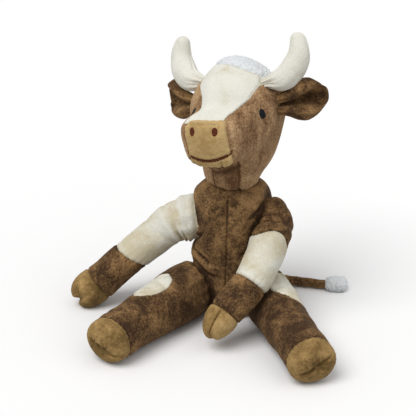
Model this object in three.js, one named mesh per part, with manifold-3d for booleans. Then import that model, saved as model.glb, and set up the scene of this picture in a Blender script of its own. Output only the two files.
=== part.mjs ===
// A soft cow that sits on its seat with its legs stretched out in front.
// Millimetres, +Z up. It faces -Y, its own left is +X, and the middle of its flat seat is the origin.
import * as THREE from 'three';
import { mergeVertices } from 'three/addons/utils/BufferGeometryUtils.js';
import Module from 'manifold-3d';

const wasm = await Module();
wasm.setup();

const { Vector2, Vector3, Matrix4 } = THREE;
const degrees = THREE.MathUtils.degToRad;

// Cloth, seams and cutters
const clothWall = 2.2;
const seamGap = 0.3;
const threadRise = 1.0;
const fleeceRise = 1.6;
const overrun = 12;
const swingGap = 2.5;
const cutterSize = 400;

// Torso
const torsoHeight = 142;
const torsoWidth = 88;
const torsoDepth = 78;
// height, width, depth and forward shift, each as a share of the torso's own size
const torsoRingShares = [
  [0, 0.86, 0.88, 0], [0.06, 0.96, 0.98, 0], [0.16, 1.02, 1.04, 0], [0.3, 1.02, 1.04, 0],
  [0.44, 0.96, 1.0, 0], [0.6, 0.97, 0.95, 0], [0.74, 1.0, 0.92, 0], [0.86, 0.98, 0.88, 0],
  [0.94, 0.86, 0.82, 0], [1, 0.69, 0.76, 0],
];
const torsoSides = 20;
const torsoInnerSides = 14;
const seatPanelWidth = 52;
const seatPanelDepth = 44;
const seatCutHeight = clothWall + clothWall;

// Neck and head
const neckHeight = 18;
const neckBallRadius = 13;
const headRise = 56.5;
const headCentreHeight = torsoHeight + neckHeight + headRise;
const headCentreSide = 7;
const headCentreForward = 3;
const headTurn = degrees(-17);
const headTilt = degrees(9);
const skullHeight = 133;
const skullWidth = 92;
const skullDepth = 96;
// how far the skull's middle line lies to the side at the level of the ears
const skullAsideShare = -0.02;
const skullAside = skullHeight * skullAsideShare;
// that line, sideways, backwards and upwards from the head's centre
const skullLineShares = [
  [-0.165, 0, -0.54], [-0.13, 0, -0.4], [-0.045, 0, -0.2], [skullAsideShare, 0, 0], [-0.01, 0, 0.44],
];
const skullRingShares = [
  [0, 0.63, 0.61, 0], [0.1, 0.64, 0.62, 0], [0.22, 0.72, 0.7, 0], [0.35, 0.83, 0.83, 0],
  [0.5, 0.95, 0.96, 0], [0.64, 1, 1, 0], [0.77, 0.93, 0.94, 0], [0.88, 0.75, 0.76, 0], [1, 0.6, 0.6, 0],
];
const skullDome = 34;
const skullSides = 18;
const skullInnerSides = 12;
const skullSquare = 2.25;

const muzzleReach = 76;
const muzzleWidth = 52;
const muzzleHeight = 50;
const muzzleDrop = 14;
const muzzleAside = 3;
const muzzleRingShares = [
  [0, 1.5, 1.2, 0], [0.25, 1.42, 1.2, 0], [0.5, 1.2, 1.1, 0], [0.75, 1.06, 1.02, 0], [1, 1, 1, 0],
];
const muzzleDome = 11;
const muzzleSides = 16;
const muzzleInnerSides = 12;
const muzzleSquare = 3.6;
const muzzleSeam = 67;

// the blaze's two edges, sideways and upwards, as shares of the skull's width and height
const blazeLeftShares = [[0.2, 0.05], [0.2, 0.1], [0.33, 0.18], [0.38, 0.25], [0.38, 1]];
const blazeRightShares = [[-0.28, 0.05], [-0.25, 0.1], [-0.18, 0.13], [-0.2, 0.21], [-0.26, 0.33], [-0.26, 1]];
const blazeBack = 1;
const crownWidth = 52;
const crownDepth = 44;
const crownBack = 8;
const crownSide = 5;
const crownHeight = 20;
const throatHalf = 15;
const throatSide = -8;

// Face trim
const eyeWidth = 6;
const eyeHeight = 10;
const eyeSide = 40;
const eyeForward = 26;
const eyeRise = 7;
const nostrilWidth = 6;
const nostrilHeight = 8.5;
const nostrilSide = 13.5;
const nostrilRise = 2;
const mouthHalf = 26;
const mouthBack = 61;
const mouthRise = -26;
const mouthSag = 5;
const mouthThread = 2;

// Horns
const hornLength = 78;
const hornThick = 22;
// the root as shares of the skull's width, depth and height
const hornRootShares = [0.42, -0.03, 0.25];
const hornLineShares = [[0, 0, 0], [0.21, 0.03, 0.05], [0.36, 0.15, 0.28], [0.32, 0.24, 0.58]];
const hornRingShares = [
  [0, 0.5, 0.5, 0], [0.16, 0.9, 0.9, 0], [0.42, 1.04, 1.04, 0], [0.75, 0.84, 0.84, 0], [1, 0.55, 0.55, 0],
];
const hornDome = 6;
const hornSides = 8;

// Ears
const earLength = 48;
const earHeight = 42;
const earCup = 26;
const earSide = 72;
const earForward = -1;
const earRise = 10;
const earLift = degrees(2);
const earSweep = degrees(20);
const earOpenShare = 0.12;
const earRootBall = 8;
const earSides = 12;
const earLayers = 8;

// Arms, each along its own line from the pivot in its shoulder
const armThick = 39;
const armPivotBall = 8;
const shoulderReach = 19;
const armRightReach = 139;
const armRightSide = 56;
const armRightForward = 6;
const armRightDrop = 48;
const armRightLineShares = [
  [0.16, 0.03, 0.03], [0, 0, 0], [-0.23, -0.06, -0.165],
  [-0.45, -0.15, -0.352], [-0.63, -0.215, -0.515], [-0.79, -0.32, -0.61],
];
const armRightColourSeam = 66;
const armRightHoofSeam = 114;
const armRightToesTurn = degrees(115);
const armLeftReach = 139;
const armLeftSide = 47;
const armLeftForward = 17;
const armLeftDrop = 35;
const armLeftLineShares = [
  [-0.12, 0.12, 0.06], [0, 0, 0], [-0.02, -0.16, -0.105],
  [-0.098, -0.37, -0.32], [-0.26, -0.56, -0.51], [-0.352, -0.71, -0.65],
];
const armLeftColourSeam = 74;
const armLeftHoofSeam = 113;
const armLeftToesTurn = degrees(0);
const armLeftRingShares = [
  [0, 0.84, 0.9, 0], [0.2, 0.98, 1, 0], [0.5, 0.96, 0.98, 0],
  [0.75, 0.94, 0.92, 0], [0.88, 0.9, 0.84, 0], [1, 0.8, 0.7, 0],
];
const armRightRingShares = [
  [0, 1.08, 1.16, 0], [0.25, 1.02, 1.05, 0], [0.5, 0.98, 1, 0],
  [0.75, 1, 1, 0], [0.88, 1.04, 0.98, 0], [1, 0.92, 0.82, 0],
];
const armDome = 17;
const armSides = 10;
const armInnerSides = 8;
const cleftWidth = 18;
const cleftDepth = 12;

// Legs, each along a straight line from inside the torso to the sole
const legLength = 169;
const legSplayLeft = degrees(29);
const legSplayRight = degrees(24);
const legRootSide = 31;
const legRootForward = 8;
const legPivotReach = 34;
const legRigidReach = 64;
const legThick = 56;
const ankleThick = 46;
const legLeftRingShares = [
  [0, 0.9, 0.9, 0], [0.2, 0.97, 0.97, 0], [0.4, 0.9, 0.92, 0],
  [0.6, 0.84, 0.85, 0], [0.8, 0.83, 0.82, 0], [1, 0.95, 0.86, 0],
];
const legRightRingShares = [
  [0, 0.9, 0.9, 0], [0.2, 1.02, 1.02, 0], [0.4, 0.97, 0.98, 0],
  [0.6, 0.88, 0.88, 0], [0.8, 0.86, 0.83, 0], [1, 0.99, 0.87, 0],
];
const legDome = 14;
const legSides = 14;
const legInnerSides = 8;
const soleLength = 21;
const legHoofSeam = legLength - soleLength;
const legPivotBall = 11;
const floorCut = 0.5;
const legPatchRightReach = 78;
const legPatchRightTurn = degrees(72);
const legPatchLeftReach = 40;
const legPatchLeftTurn = degrees(40);
const legPatchLength = 48;
const legPatchWidth = 38;
const legPatchDepth = 20;

// Tail
const tailThick = 12;
const tailLength = 98;
const tailRootSide = 4;
const tailRootBack = 36;
const tailLineShares = [
  [0, 0, 0], [0.01, 0.08, 0], [0.1, 0.17, 0], [0.3, 0.2, 0], [0.6, 0.19, 0], [0.93, 0.19, 0],
];
const tailRingShares = [[0, 1, 1, 0], [0.5, 0.95, 0.95, 0], [1, 0.85, 0.85, 0]];
const tailSides = 8;
const tuftLength = 22;
const tuftThick = 17;
const tuftDome = 6;
const tuftRingShares = [[0, 0.6, 0.6, 0], [0.3, 0.95, 0.9, 0], [0.6, 1.05, 1, 0], [1, 0.9, 0.85, 0]];
const tuftSides = 10;

const brownDark = 0x644831;
const brownLight = 0x7b5d43;
const cream = 0xe8e1d0;
const tan = 0xa98a59;
const colours = {
  torso: brownDark,
  head: brownLight,
  cream,
  tan,
  fleece: 0xeff1f2,
  filling: 0xf3efe4,
  thread: 0x55291a,
  nostril: 0x6b2e16,
  eye: 0x141a2a,
};
const clothRoughness = 0.95;

// A closed three.js geometry as a solid that can be cut and joined
function solidFrom(geometry, place = new Matrix4()) {
  const bare = geometry.clone().applyMatrix4(place);
  bare.deleteAttribute('normal');
  bare.deleteAttribute('uv');
  const merged = mergeVertices(bare);
  const corners = merged.index.array;
  const kept = [];
  for (let i = 0; i < corners.length; i += 3) {
    const [a, b, c] = corners.slice(i, i + 3);
    if (a !== b && b !== c && c !== a) kept.push(a, b, c);
  }
  return new wasm.Manifold(new wasm.Mesh({
    numProp: 3,
    vertProperties: new Float32Array(merged.attributes.position.array),
    triVerts: new Uint32Array(kept),
  }));
}

function meshFrom(name, solid, colour) {
  const { vertProperties, triVerts } = solid.getMesh();
  const geometry = new THREE.BufferGeometry();
  geometry.setAttribute('position', new THREE.BufferAttribute(new Float32Array(vertProperties), 3));
  geometry.setIndex(new THREE.BufferAttribute(new Uint32Array(triVerts), 1));
  geometry.computeVertexNormals();
  const finish = new THREE.MeshStandardMaterial({ color: colour, roughness: clothRoughness, metalness: 0 });
  const mesh = new THREE.Mesh(geometry, finish);
  mesh.name = name;
  return mesh;
}

// Points given as shares of a length, from a start
function scaledPoints(start, shares, length) {
  return shares.map((share) => new Vector3(...share).multiplyScalar(length).add(start));
}

// The distances of a form's rings along its line, with how round it has become there.
// The rings between the ends keep their places, so that a skin and what fills it fit each other.
function ringStops(length, grow, { rootLonger, rootDome, tipDome, bodyRings, domeRings }) {
  const dome = (reach) => Array.from({ length: domeRings }, (_, i) => {
    const angle = (Math.PI / 2) * (i / domeRings);
    return { at: reach * Math.cos(angle), round: Math.sin(angle) };
  });
  const start = -grow - rootLonger;
  const end = length + grow;
  const rootEnd = rootDome
    ? dome(rootDome + grow).map(({ at, round }) => ({ at: rootDome - at, round }))
    : [{ at: start, round: 0 }, { at: start, round: 1 }];
  const tipEnd = tipDome
    ? dome(tipDome + grow).map(({ at, round }) => ({ at: length - tipDome + at, round })).reverse()
    : [{ at: end, round: 1 }, { at: end, round: 0 }];
  const span = length - rootDome - tipDome;
  const body = Array.from(
    { length: bodyRings + 1 },
    (_, i) => ({ at: rootDome + (span * i) / bodyRings, round: 1 }),
  );
  return [...rootEnd, ...body.filter(({ at }) => at > start && at < end), ...tipEnd];
}

// A stuffed form: a lathed spindle whose rings are laid along a line and widened one by one.
// grow moves its whole skin outwards, and rootLonger lengthens its first end.
function stuffedForm(form, grow = 0, rootLonger = 0) {
  const { line, ringShares, wide, deep, bodyRings } = form;
  const sides = grow < 0 ? form.innerSides : form.sides;
  const { sideways = new Vector3(1, 0, 0), square = 2, rootDome = 0, tipDome = 0, domeRings = 3 } = form;
  const length = line.getLength();
  const stops = ringStops(length, grow, { rootLonger, rootDome, tipDome, bodyRings, domeRings });
  const ringPlaces = ringShares.map((ring) => ring[0]);
  const ringSizes = ringShares.flatMap((ring) => ring.slice(1));
  const widths = new THREE.CubicInterpolant(ringPlaces, ringSizes, ringSizes.length / ringPlaces.length);
  const rings = stops.map(({ at, round }) => {
    const share = THREE.MathUtils.clamp(at / length, 0, 1);
    const along = line.getTangentAt(share);
    const across = sideways.clone().addScaledVector(along, -sideways.dot(along)).normalize();
    const through = across.clone().cross(along);
    const [widthShare, depthShare, shiftShare] = widths.evaluate(share);
    const centre = line.getPointAt(share).addScaledVector(along, at - share * length);
    centre.addScaledVector(through, shiftShare * deep);
    return {
      centre,
      across: across.multiplyScalar(widthShare * wide / 2 + grow),
      through: through.multiplyScalar(depthShare * deep / 2 + grow),
      round,
    };
  });
  const spindle = new THREE.LatheGeometry(rings.map(({ round }, i) => new Vector2(round, i)), sides);
  const places = spindle.attributes.position;
  for (let i = 0; i < places.count; i += 1) {
    const ring = rings[Math.round(places.getY(i))];
    const x = places.getX(i);
    const z = places.getZ(i);
    const reach = Math.hypot(x, z);
    const fullness = reach ? reach / (Math.abs(x) ** square + Math.abs(z) ** square) ** (1 / square) : 1;
    const point = ring.centre.clone()
      .addScaledVector(ring.across, x * fullness)
      .addScaledVector(ring.through, z * fullness);
    places.setXYZ(i, point.x, point.y, point.z);
  }
  return solidFrom(spindle);
}

// Everything beyond a plane square to a line, at a distance along it
function beyond(line, distance) {
  const share = distance / line.getLength();
  const along = line.getTangentAt(share);
  const box = new THREE.BoxGeometry(cutterSize, cutterSize, cutterSize).translate(0, 0, cutterSize / 2);
  const turn = new THREE.Quaternion().setFromUnitVectors(new Vector3(0, 0, 1), along);
  return solidFrom(box, new Matrix4().compose(line.getPointAt(share), turn, new Vector3(1, 1, 1)));
}

// A box from its lowest to its highest corner
function block(low, high) {
  const size = high.clone().sub(low);
  const middle = low.clone().lerp(high, 0.5);
  return solidFrom(new THREE.BoxGeometry(size.x, size.y, size.z).translate(middle.x, middle.y, middle.z));
}

function halfSpace(axis, from, sign) {
  const low = new Vector3(-cutterSize, -cutterSize, -cutterSize);
  const high = new Vector3(cutterSize, cutterSize, cutterSize);
  if (sign > 0) low[axis] = from;
  else high[axis] = from;
  return block(low, high);
}

// A ball with a stem, on which a limb turns inside its soft joint
function pivotStem(line, distance, length, radius) {
  const start = line.getPointAt(distance / line.getLength());
  const along = line.getTangentAt(distance / line.getLength());
  const turn = new THREE.Quaternion().setFromUnitVectors(new Vector3(0, 1, 0), along);
  const middle = start.clone().addScaledVector(along, length / 2);
  const stemCaps = 4;
  const stemSides = 12;
  return solidFrom(
    new THREE.CapsuleGeometry(radius, length, stemCaps, stemSides),
    new Matrix4().compose(middle, turn, new Vector3(1, 1, 1)),
  );
}

const aboveFloor = halfSpace('z', 0, 1);

// Torso: two sewn halves over one filling, closed by an oval panel in the seat
const torsoForm = {
  line: new THREE.LineCurve3(new Vector3(0, 0, 0), new Vector3(0, 0, torsoHeight)),
  ringShares: torsoRingShares,
  wide: torsoWidth,
  deep: torsoDepth,
  sides: torsoSides,
  innerSides: torsoInnerSides,
  bodyRings: 9,
};

function torsoPieces() {
  const shell = stuffedForm(torsoForm).subtract(stuffedForm(torsoForm, -clothWall));
  const seatCut = (grow) => solidFrom(
    new THREE.CylinderGeometry(1, 1, 1, torsoSides).rotateX(Math.PI / 2),
    new Matrix4().makeScale(seatPanelWidth / 2 + grow, seatPanelDepth / 2 + grow, seatCutHeight),
  );
  const sides = shell.subtract(seatCut(seamGap));
  return [
    meshFrom('torso_left', sides.intersect(halfSpace('x', seamGap / 2, 1)), colours.torso),
    meshFrom('torso_right', sides.intersect(halfSpace('x', -seamGap / 2, -1)), colours.torso),
    meshFrom('seat_panel', shell.intersect(seatCut(0)), colours.torso),
    meshFrom('torso_stuffing', stuffedForm(torsoForm, -clothWall - seamGap), colours.filling),
  ];
}

// Legs
function legForm(side) {
  const root = new Vector3(side * legRootSide, -legRootForward, legThick / 2 - floorCut);
  const drop = (legThick - ankleThick) / 2;
  const reach = Math.sqrt(legLength ** 2 - drop ** 2);
  const splay = side > 0 ? legSplayLeft : legSplayRight;
  const sole = root.clone().add(new Vector3(side * Math.sin(splay) * reach, -Math.cos(splay) * reach, -drop));
  return {
    line: new THREE.LineCurve3(root, sole),
    ringShares: side > 0 ? legLeftRingShares : legRightRingShares,
    wide: legThick,
    deep: legThick,
    sides: legSides,
    innerSides: legInnerSides,
    bodyRings: 6,
    tipDome: legDome,
  };
}

// The outline of a sewn-in patch, an egg laid against the leg's upper skin
function patchOutline(form, distance, side, turn, grow) {
  const share = distance / form.line.getLength();
  const along = form.line.getTangentAt(share);
  const outwards = new Vector3(side * Math.cos(turn), 0, Math.sin(turn));
  const centre = form.line.getPointAt(share).addScaledVector(outwards, form.deep / 2);
  const eggSides = 16;
  const eggRings = 8;
  const egg = new THREE.SphereGeometry(1, eggSides, eggRings);
  const across = outwards.clone().cross(along).normalize();
  const place = new Matrix4().makeBasis(
    along.clone().multiplyScalar(legPatchLength / 2 + grow),
    across.clone().multiplyScalar(legPatchWidth / 2 + grow),
    along.clone().cross(across).multiplyScalar(legPatchDepth / 2 + grow),
  ).setPosition(centre);
  return solidFrom(egg, place);
}

function legPieces(side, name) {
  const form = legForm(side);
  const outer = stuffedForm(form).intersect(aboveFloor);
  const shell = outer.subtract(stuffedForm(form, -clothWall, overrun).intersect(halfSpace('z', clothWall, 1)));
  const rigid = beyond(form.line, legRigidReach);
  const stem = legRigidReach - legPivotReach + legPivotBall;
  const filling = stuffedForm(form, -clothWall - seamGap, overrun)
    .intersect(halfSpace('z', clothWall + seamGap, 1))
    .intersect(beyond(form.line, legRigidReach + seamGap))
    .add(pivotStem(form.line, legPivotReach, stem, legPivotBall));
  const hip = outer.subtract(beyond(form.line, legRigidReach - seamGap))
    .subtract(stuffedForm(torsoForm, seamGap))
    .subtract(pivotStem(form.line, legPivotReach, stem, legPivotBall + seamGap));
  const tube = shell.intersect(rigid).subtract(beyond(form.line, legHoofSeam - seamGap));
  const onHip = side > 0;
  const reach = onHip ? legPatchLeftReach : legPatchRightReach;
  const turn = onHip ? legPatchLeftTurn : legPatchRightTurn;
  const patchIn = patchOutline(form, reach, side, turn, 0);
  const patchHole = patchOutline(form, reach, side, turn, seamGap);
  const patchPocket = patchHole.subtract(stuffedForm(form, -clothWall - seamGap, overrun));
  const skin = outer.subtract(stuffedForm(form, -clothWall, overrun)).subtract(stuffedForm(torsoForm, seamGap));
  const fixed = [
    meshFrom(`hip_${name}`, onHip ? hip.subtract(patchPocket) : hip, colours.torso),
  ];
  const moving = [
    meshFrom(`leg_${name}`, onHip ? tube : tube.subtract(patchHole), colours.torso),
    meshFrom(`leg_${name}_hoof`, shell.intersect(beyond(form.line, legHoofSeam)), colours.tan),
    meshFrom(`leg_${name}_stuffing`, filling, colours.filling),
  ];
  const near = onHip ? outer.subtract(beyond(form.line, legRigidReach - seamGap)) : rigid;
  const patch = meshFrom(`leg_${name}_patch`, skin.intersect(patchIn).intersect(near), colours.cream);
  return [...fixed, ...moving, patch];
}

// Arms
function armForm({ pivot, lineShares, reach, ringShares }) {
  return {
    line: new THREE.CatmullRomCurve3(scaledPoints(pivot, lineShares, reach), false, 'centripetal'),
    ringShares,
    wide: armThick,
    deep: armThick,
    sides: armSides,
    innerSides: armInnerSides,
    bodyRings: 7,
    tipDome: armDome,
    sideways: new Vector3(0, 0, 1),
  };
}

// The notch between the two toes at an arm's tip, turned about the arm, its faces moved apart by a wall
function cleft(form, turn, wall) {
  const tip = form.line.getPointAt(1);
  const along = form.line.getTangentAt(1);
  const halfAngle = Math.atan2(cleftWidth / 2, cleftDepth + overrun);
  const bottom = -cleftDepth - wall / Math.sin(halfAngle);
  const mouth = (overrun - bottom) * Math.tan(halfAngle);
  const corners = [new Vector2(-mouth, overrun), new Vector2(0, bottom), new Vector2(mouth, overrun)];
  const notch = { depth: cutterSize, bevelEnabled: false };
  const prism = new THREE.ExtrudeGeometry(new THREE.Shape(corners), notch).translate(0, 0, -cutterSize / 2);
  const up = new Vector3(0, 0, 1);
  const across = along.clone().cross(up).normalize().applyAxisAngle(along, turn);
  const through = across.clone().cross(along);
  return solidFrom(prism, new Matrix4().makeBasis(across, along, through).setPosition(tip));
}

function armPieces(name, arm) {
  const { pivot, colourSeam, hoofSeam, toesTurn, sleeve } = arm;
  const form = armForm(arm);
  const start = form.line.getLength() - reachFrom(form.line, pivot);
  const neighbours = stuffedForm(torsoForm, seamGap)
    .add(stuffedForm(legForm(Math.sign(pivot.x)), seamGap));
  const solid = (grow, rootLonger = 0) => stuffedForm(form, grow, rootLonger)
    .intersect(halfSpace('z', -grow, 1))
    .subtract(cleft(form, toesTurn, -grow));
  const shell = solid(0).subtract(solid(-clothWall, overrun));
  const rigid = beyond(form.line, start + shoulderReach);
  const stemLength = shoulderReach;
  const filling = solid(-clothWall - seamGap, overrun)
    .intersect(beyond(form.line, start + shoulderReach + seamGap))
    .add(pivotStem(form.line, start, stemLength, armPivotBall))
    .subtract(stuffedForm(torsoForm, swingGap));
  const shoulder = solid(0).subtract(beyond(form.line, start + shoulderReach - seamGap))
    .subtract(pivotStem(form.line, start, stemLength, armPivotBall + seamGap));
  const upper = shell.intersect(rigid).subtract(beyond(form.line, start + colourSeam - seamGap));
  const lower = shell.intersect(beyond(form.line, start + colourSeam))
    .subtract(beyond(form.line, start + hoofSeam - seamGap));
  const pieces = {
    [`shoulder_${name}`]: [shoulder, sleeve],
    [`arm_${name}_upper`]: [upper, colours.cream],
    [`arm_${name}_lower`]: [lower, colours.torso],
    [`arm_${name}_hoof`]: [shell.intersect(beyond(form.line, start + hoofSeam)), colours.tan],
    [`arm_${name}_stuffing`]: [filling, colours.filling],
  };
  return Object.entries(pieces).map(
    ([piece, [body, colour]]) => meshFrom(piece, body.subtract(neighbours), colour),
  );
}

// How much of a line lies after the point of it that is nearest to a place
function reachFrom(line, place) {
  const samples = 200;
  const gaps = line.getSpacedPoints(samples).map((point) => point.distanceTo(place));
  const nearest = gaps.indexOf(Math.min(...gaps));
  return line.getLength() * (1 - nearest / samples);
}

// Head, in its own frame: +X to the cow's left, -Y forwards, the origin in the middle of the skull
const headGroup = new THREE.Group();
headGroup.position.set(headCentreSide, -headCentreForward, headCentreHeight);
headGroup.rotation.set(0, -headTilt, headTurn, 'ZYX');
headGroup.updateMatrixWorld();

const skullForm = {
  line: new THREE.CatmullRomCurve3(scaledPoints(new Vector3(), skullLineShares, skullHeight)),
  ringShares: skullRingShares,
  wide: skullWidth,
  deep: skullDepth,
  sides: skullSides,
  innerSides: skullInnerSides,
  bodyRings: 9,
  tipDome: skullDome,
  square: skullSquare,
};

const muzzleForm = {
  line: new THREE.LineCurve3(new Vector3(0, 0, 0), new Vector3(-muzzleAside, -muzzleReach, -muzzleDrop)),
  ringShares: muzzleRingShares,
  wide: muzzleWidth,
  deep: muzzleHeight,
  sides: muzzleSides,
  innerSides: muzzleInnerSides,
  bodyRings: 5,
  tipDome: muzzleDome,
  square: muzzleSquare,
};

function headForm(grow, rootLonger = 0) {
  return stuffedForm(skullForm, grow, rootLonger).add(stuffedForm(muzzleForm, grow));
}

// A solid given in the cow's frame, as the head's frame sees it
function seenFromHead(solid) {
  return solid.transform(headGroup.matrixWorld.clone().invert().elements);
}

// A solid pushed through the head from front to back, from an outline seen from the front
function frontPrism(outline, front, back) {
  const depth = front + back;
  const prism = new THREE.ExtrudeGeometry(new THREE.Shape(outline), { depth, bevelEnabled: false });
  return solidFrom(prism.rotateX(Math.PI / 2).translate(0, back, 0));
}

function blazeOutline(grow) {
  const edge = (shares, widen) => shares.map(
    ([side, height]) => new Vector2(side * skullWidth + widen, height * skullHeight),
  );
  return [...edge(blazeLeftShares, grow), ...edge(blazeRightShares, -grow).reverse()];
}

function oval(width, height, side, rise) {
  const halfTurnPoints = 6;
  const edge = new THREE.Path().absellipse(side, rise, width / 2, height / 2, 0, 2 * Math.PI);
  return edge.getPoints(halfTurnPoints).slice(0, -1);
}

function mouthOutline() {
  const steps = 8;
  const edge = (offset) => Array.from({ length: steps + 1 }, (_, i) => {
    const share = (2 * i) / steps - 1;
    return new Vector2(mouthHalf * share, mouthRise + offset + mouthSag * share ** 2);
  });
  return [...edge(-mouthThread / 2), ...edge(mouthThread / 2).reverse()];
}

// Trim stitched on the head's skin, inside an outline seen from the front
function trimOnHead(outline) {
  const raised = headForm(seamGap + threadRise).subtract(headForm(seamGap));
  return raised.intersect(frontPrism(outline, cutterSize, 0));
}

// An eye, seen square to the side of the skull that it is sewn on
function eyeOnHead(side) {
  const raised = headForm(seamGap + threadRise).subtract(headForm(seamGap));
  const rod = frontPrism(oval(eyeWidth, eyeHeight, 0, 0), cutterSize, 0);
  const outwards = new Matrix4().makeRotationZ(side * Math.atan2(eyeSide, eyeForward));
  return raised.intersect(rod.transform(outwards.setPosition(0, 0, eyeRise).elements));
}

function headPieces() {
  const neckTop = torsoHeight + neckHeight;
  const aboveNeck = seenFromHead(halfSpace('z', neckTop + seamGap, 1));
  const outer = headForm(0);
  const shell = outer.subtract(headForm(-clothWall, overrun)).intersect(aboveNeck);
  const muzzle = shell.intersect(halfSpace('y', -muzzleSeam, -1));
  const cheeks = shell.subtract(halfSpace('y', -muzzleSeam + seamGap, -1));
  const fleeceCut = (grow) => solidFrom(
    new THREE.CylinderGeometry(1, 1, skullHeight, skullSides).rotateX(Math.PI / 2),
    new Matrix4().makeTranslation(crownSide, crownBack, crownHeight + skullHeight / 2)
      .scale(new Vector3(crownWidth / 2 + grow, crownDepth / 2 + grow, 1)),
  );
  const blazeCut = (grow) => frontPrism(blazeOutline(grow), cutterSize, -blazeBack + grow);
  const throatCut = (grow) => block(
    new Vector3(-throatHalf - grow + throatSide, -cutterSize, -cutterSize),
    new Vector3(throatHalf + grow + throatSide, 0, -muzzleHeight / 2),
  );
  const pile = headForm(fleeceRise).subtract(headForm(-clothWall));
  const sides = cheeks.subtract(blazeCut(seamGap)).subtract(fleeceCut(seamGap)).subtract(throatCut(seamGap));
  const half = (sign) => sides.intersect(halfSpace('x', sign * seamGap / 2, sign));
  const nostril = (sign) => oval(nostrilWidth, nostrilHeight, sign * nostrilSide, nostrilRise);
  const filling = headForm(-clothWall - seamGap).intersect(aboveNeck);
  return {
    head_left: [half(1), colours.head],
    head_right: [half(-1), colours.head],
    throat: [cheeks.intersect(throatCut(0)), colours.head],
    blaze: [cheeks.intersect(blazeCut(0)).subtract(fleeceCut(seamGap)), colours.cream],
    crown_fleece: [pile.intersect(fleeceCut(0)), colours.fleece],
    muzzle: [muzzle, colours.tan],
    head_stuffing: [filling.add(seenFromHead(neckStem(0))), colours.filling],
    eye_left: [eyeOnHead(1), colours.eye],
    eye_right: [eyeOnHead(-1), colours.eye],
    nostril_left: [trimOnHead(nostril(1)), colours.nostril],
    nostril_right: [trimOnHead(nostril(-1)), colours.nostril],
    mouth: [trimOnHead(mouthOutline()).intersect(halfSpace('y', -mouthBack, -1)), colours.thread],
  };
}

// The ball and stem on which the head turns and nods, in the cow's frame
function neckStem(grow) {
  const pivot = new Vector3(0, 0, torsoHeight + neckHeight - seamGap);
  const line = new THREE.LineCurve3(pivot, pivot.clone().setZ(headCentreHeight));
  return pivotStem(line, 0, neckBallRadius, neckBallRadius + grow);
}

function neckPiece() {
  const ring = headForm(0, overrun)
    .intersect(seenFromHead(halfSpace('z', torsoHeight + seamGap, 1)))
    .intersect(seenFromHead(halfSpace('z', torsoHeight + neckHeight, -1)))
    .subtract(seenFromHead(neckStem(seamGap)));
  return meshFrom('neck', ring, colours.head);
}

function hornForm(side) {
  const mirror = new Vector3(side, 1, 1);
  const root = new Vector3(...hornRootShares).multiply(new Vector3(skullWidth, skullDepth, skullHeight));
  const points = scaledPoints(root, hornLineShares, hornLength).map((point) => point.multiply(mirror));
  return {
    line: new THREE.CatmullRomCurve3(points),
    ringShares: hornRingShares,
    wide: hornThick,
    deep: hornThick,
    sides: hornSides,
    innerSides: hornSides,
    bodyRings: 5,
    tipDome: hornDome,
    sideways: new Vector3(0, 1, 0),
  };
}

function hornPieces(side, name) {
  const form = hornForm(side);
  const skull = headForm(seamGap);
  const skin = stuffedForm(form, 0, hornThick)
    .subtract(stuffedForm(form, -clothWall, hornThick + overrun))
    .subtract(skull);
  const filling = stuffedForm(form, -clothWall - seamGap, hornThick).subtract(skull);
  return {
    [`horn_${name}`]: [skin, colours.cream],
    [`horn_${name}_stuffing`]: [filling, colours.filling],
  };
}

// An ear, a cup of two cloth layers that opens forwards and turns on its round root at the head
function earPieces(side, name) {
  const rootSide = skullWidth / 2 + seamGap + earRootBall + side * skullAside;
  const egg = (grow) => solidFrom(
    new THREE.SphereGeometry(1, earSides, earLayers),
    new Matrix4().makeTranslation(side * (earSide - rootSide), 0, 0)
      .scale(new Vector3(earLength / 2 + grow, earCup / 2 + grow, earHeight / 2 + grow)),
  );
  const root = (grow) => solidFrom(new THREE.SphereGeometry(earRootBall + grow, earSides, earLayers));
  const cup = (grow) => egg(grow).add(root(grow));
  const place = new Matrix4().makeRotationZ(side * earSweep).multiply(new Matrix4().makeRotationY(-side * earLift));
  place.setPosition(side * rootSide, -earForward, earRise);
  const behindRim = halfSpace('y', -earCup * earOpenShare, 1);
  const skull = headForm(seamGap);
  const layer = (outside) => cup(-outside).subtract(cup(-outside - clothWall))
    .intersect(behindRim)
    .transform(place.elements)
    .subtract(skull);
  return {
    [`ear_${name}_back`]: [layer(0), colours.torso],
    [`ear_${name}_lining`]: [layer(clothWall + seamGap), colours.torso],
  };
}

function tailPieces() {
  const root = new Vector3(tailRootSide, tailRootBack, tailThick / 2 - floorCut);
  const line = new THREE.CatmullRomCurve3(scaledPoints(root, tailLineShares, tailLength));
  const tube = {
    line,
    ringShares: tailRingShares,
    wide: tailThick,
    deep: tailThick,
    sides: tailSides,
    bodyRings: 10,
    rootDome: tailThick / 2,
    sideways: new Vector3(0, 0, 1),
  };
  const along = line.getTangentAt(1);
  const tuftStart = line.getPointAt(1).addScaledVector(along, seamGap);
  const tuftRise = new Vector3(0, 0, (tuftThick - tailThick) / 2);
  const tuft = {
    line: new THREE.LineCurve3(tuftStart, tuftStart.clone().addScaledVector(along, tuftLength).add(tuftRise)),
    ringShares: tuftRingShares,
    wide: tuftThick,
    deep: tuftThick,
    sides: tuftSides,
    bodyRings: 4,
    tipDome: tuftDome,
    sideways: new Vector3(0, 1, 0),
  };
  const tail = stuffedForm(tube).intersect(aboveFloor).subtract(stuffedForm(torsoForm, seamGap));
  const fleece = stuffedForm(tuft).intersect(aboveFloor).subtract(stuffedForm(tube, seamGap));
  return [meshFrom('tail', tail, colours.torso), meshFrom('tail_tuft', fleece, colours.fleece)];
}

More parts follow.
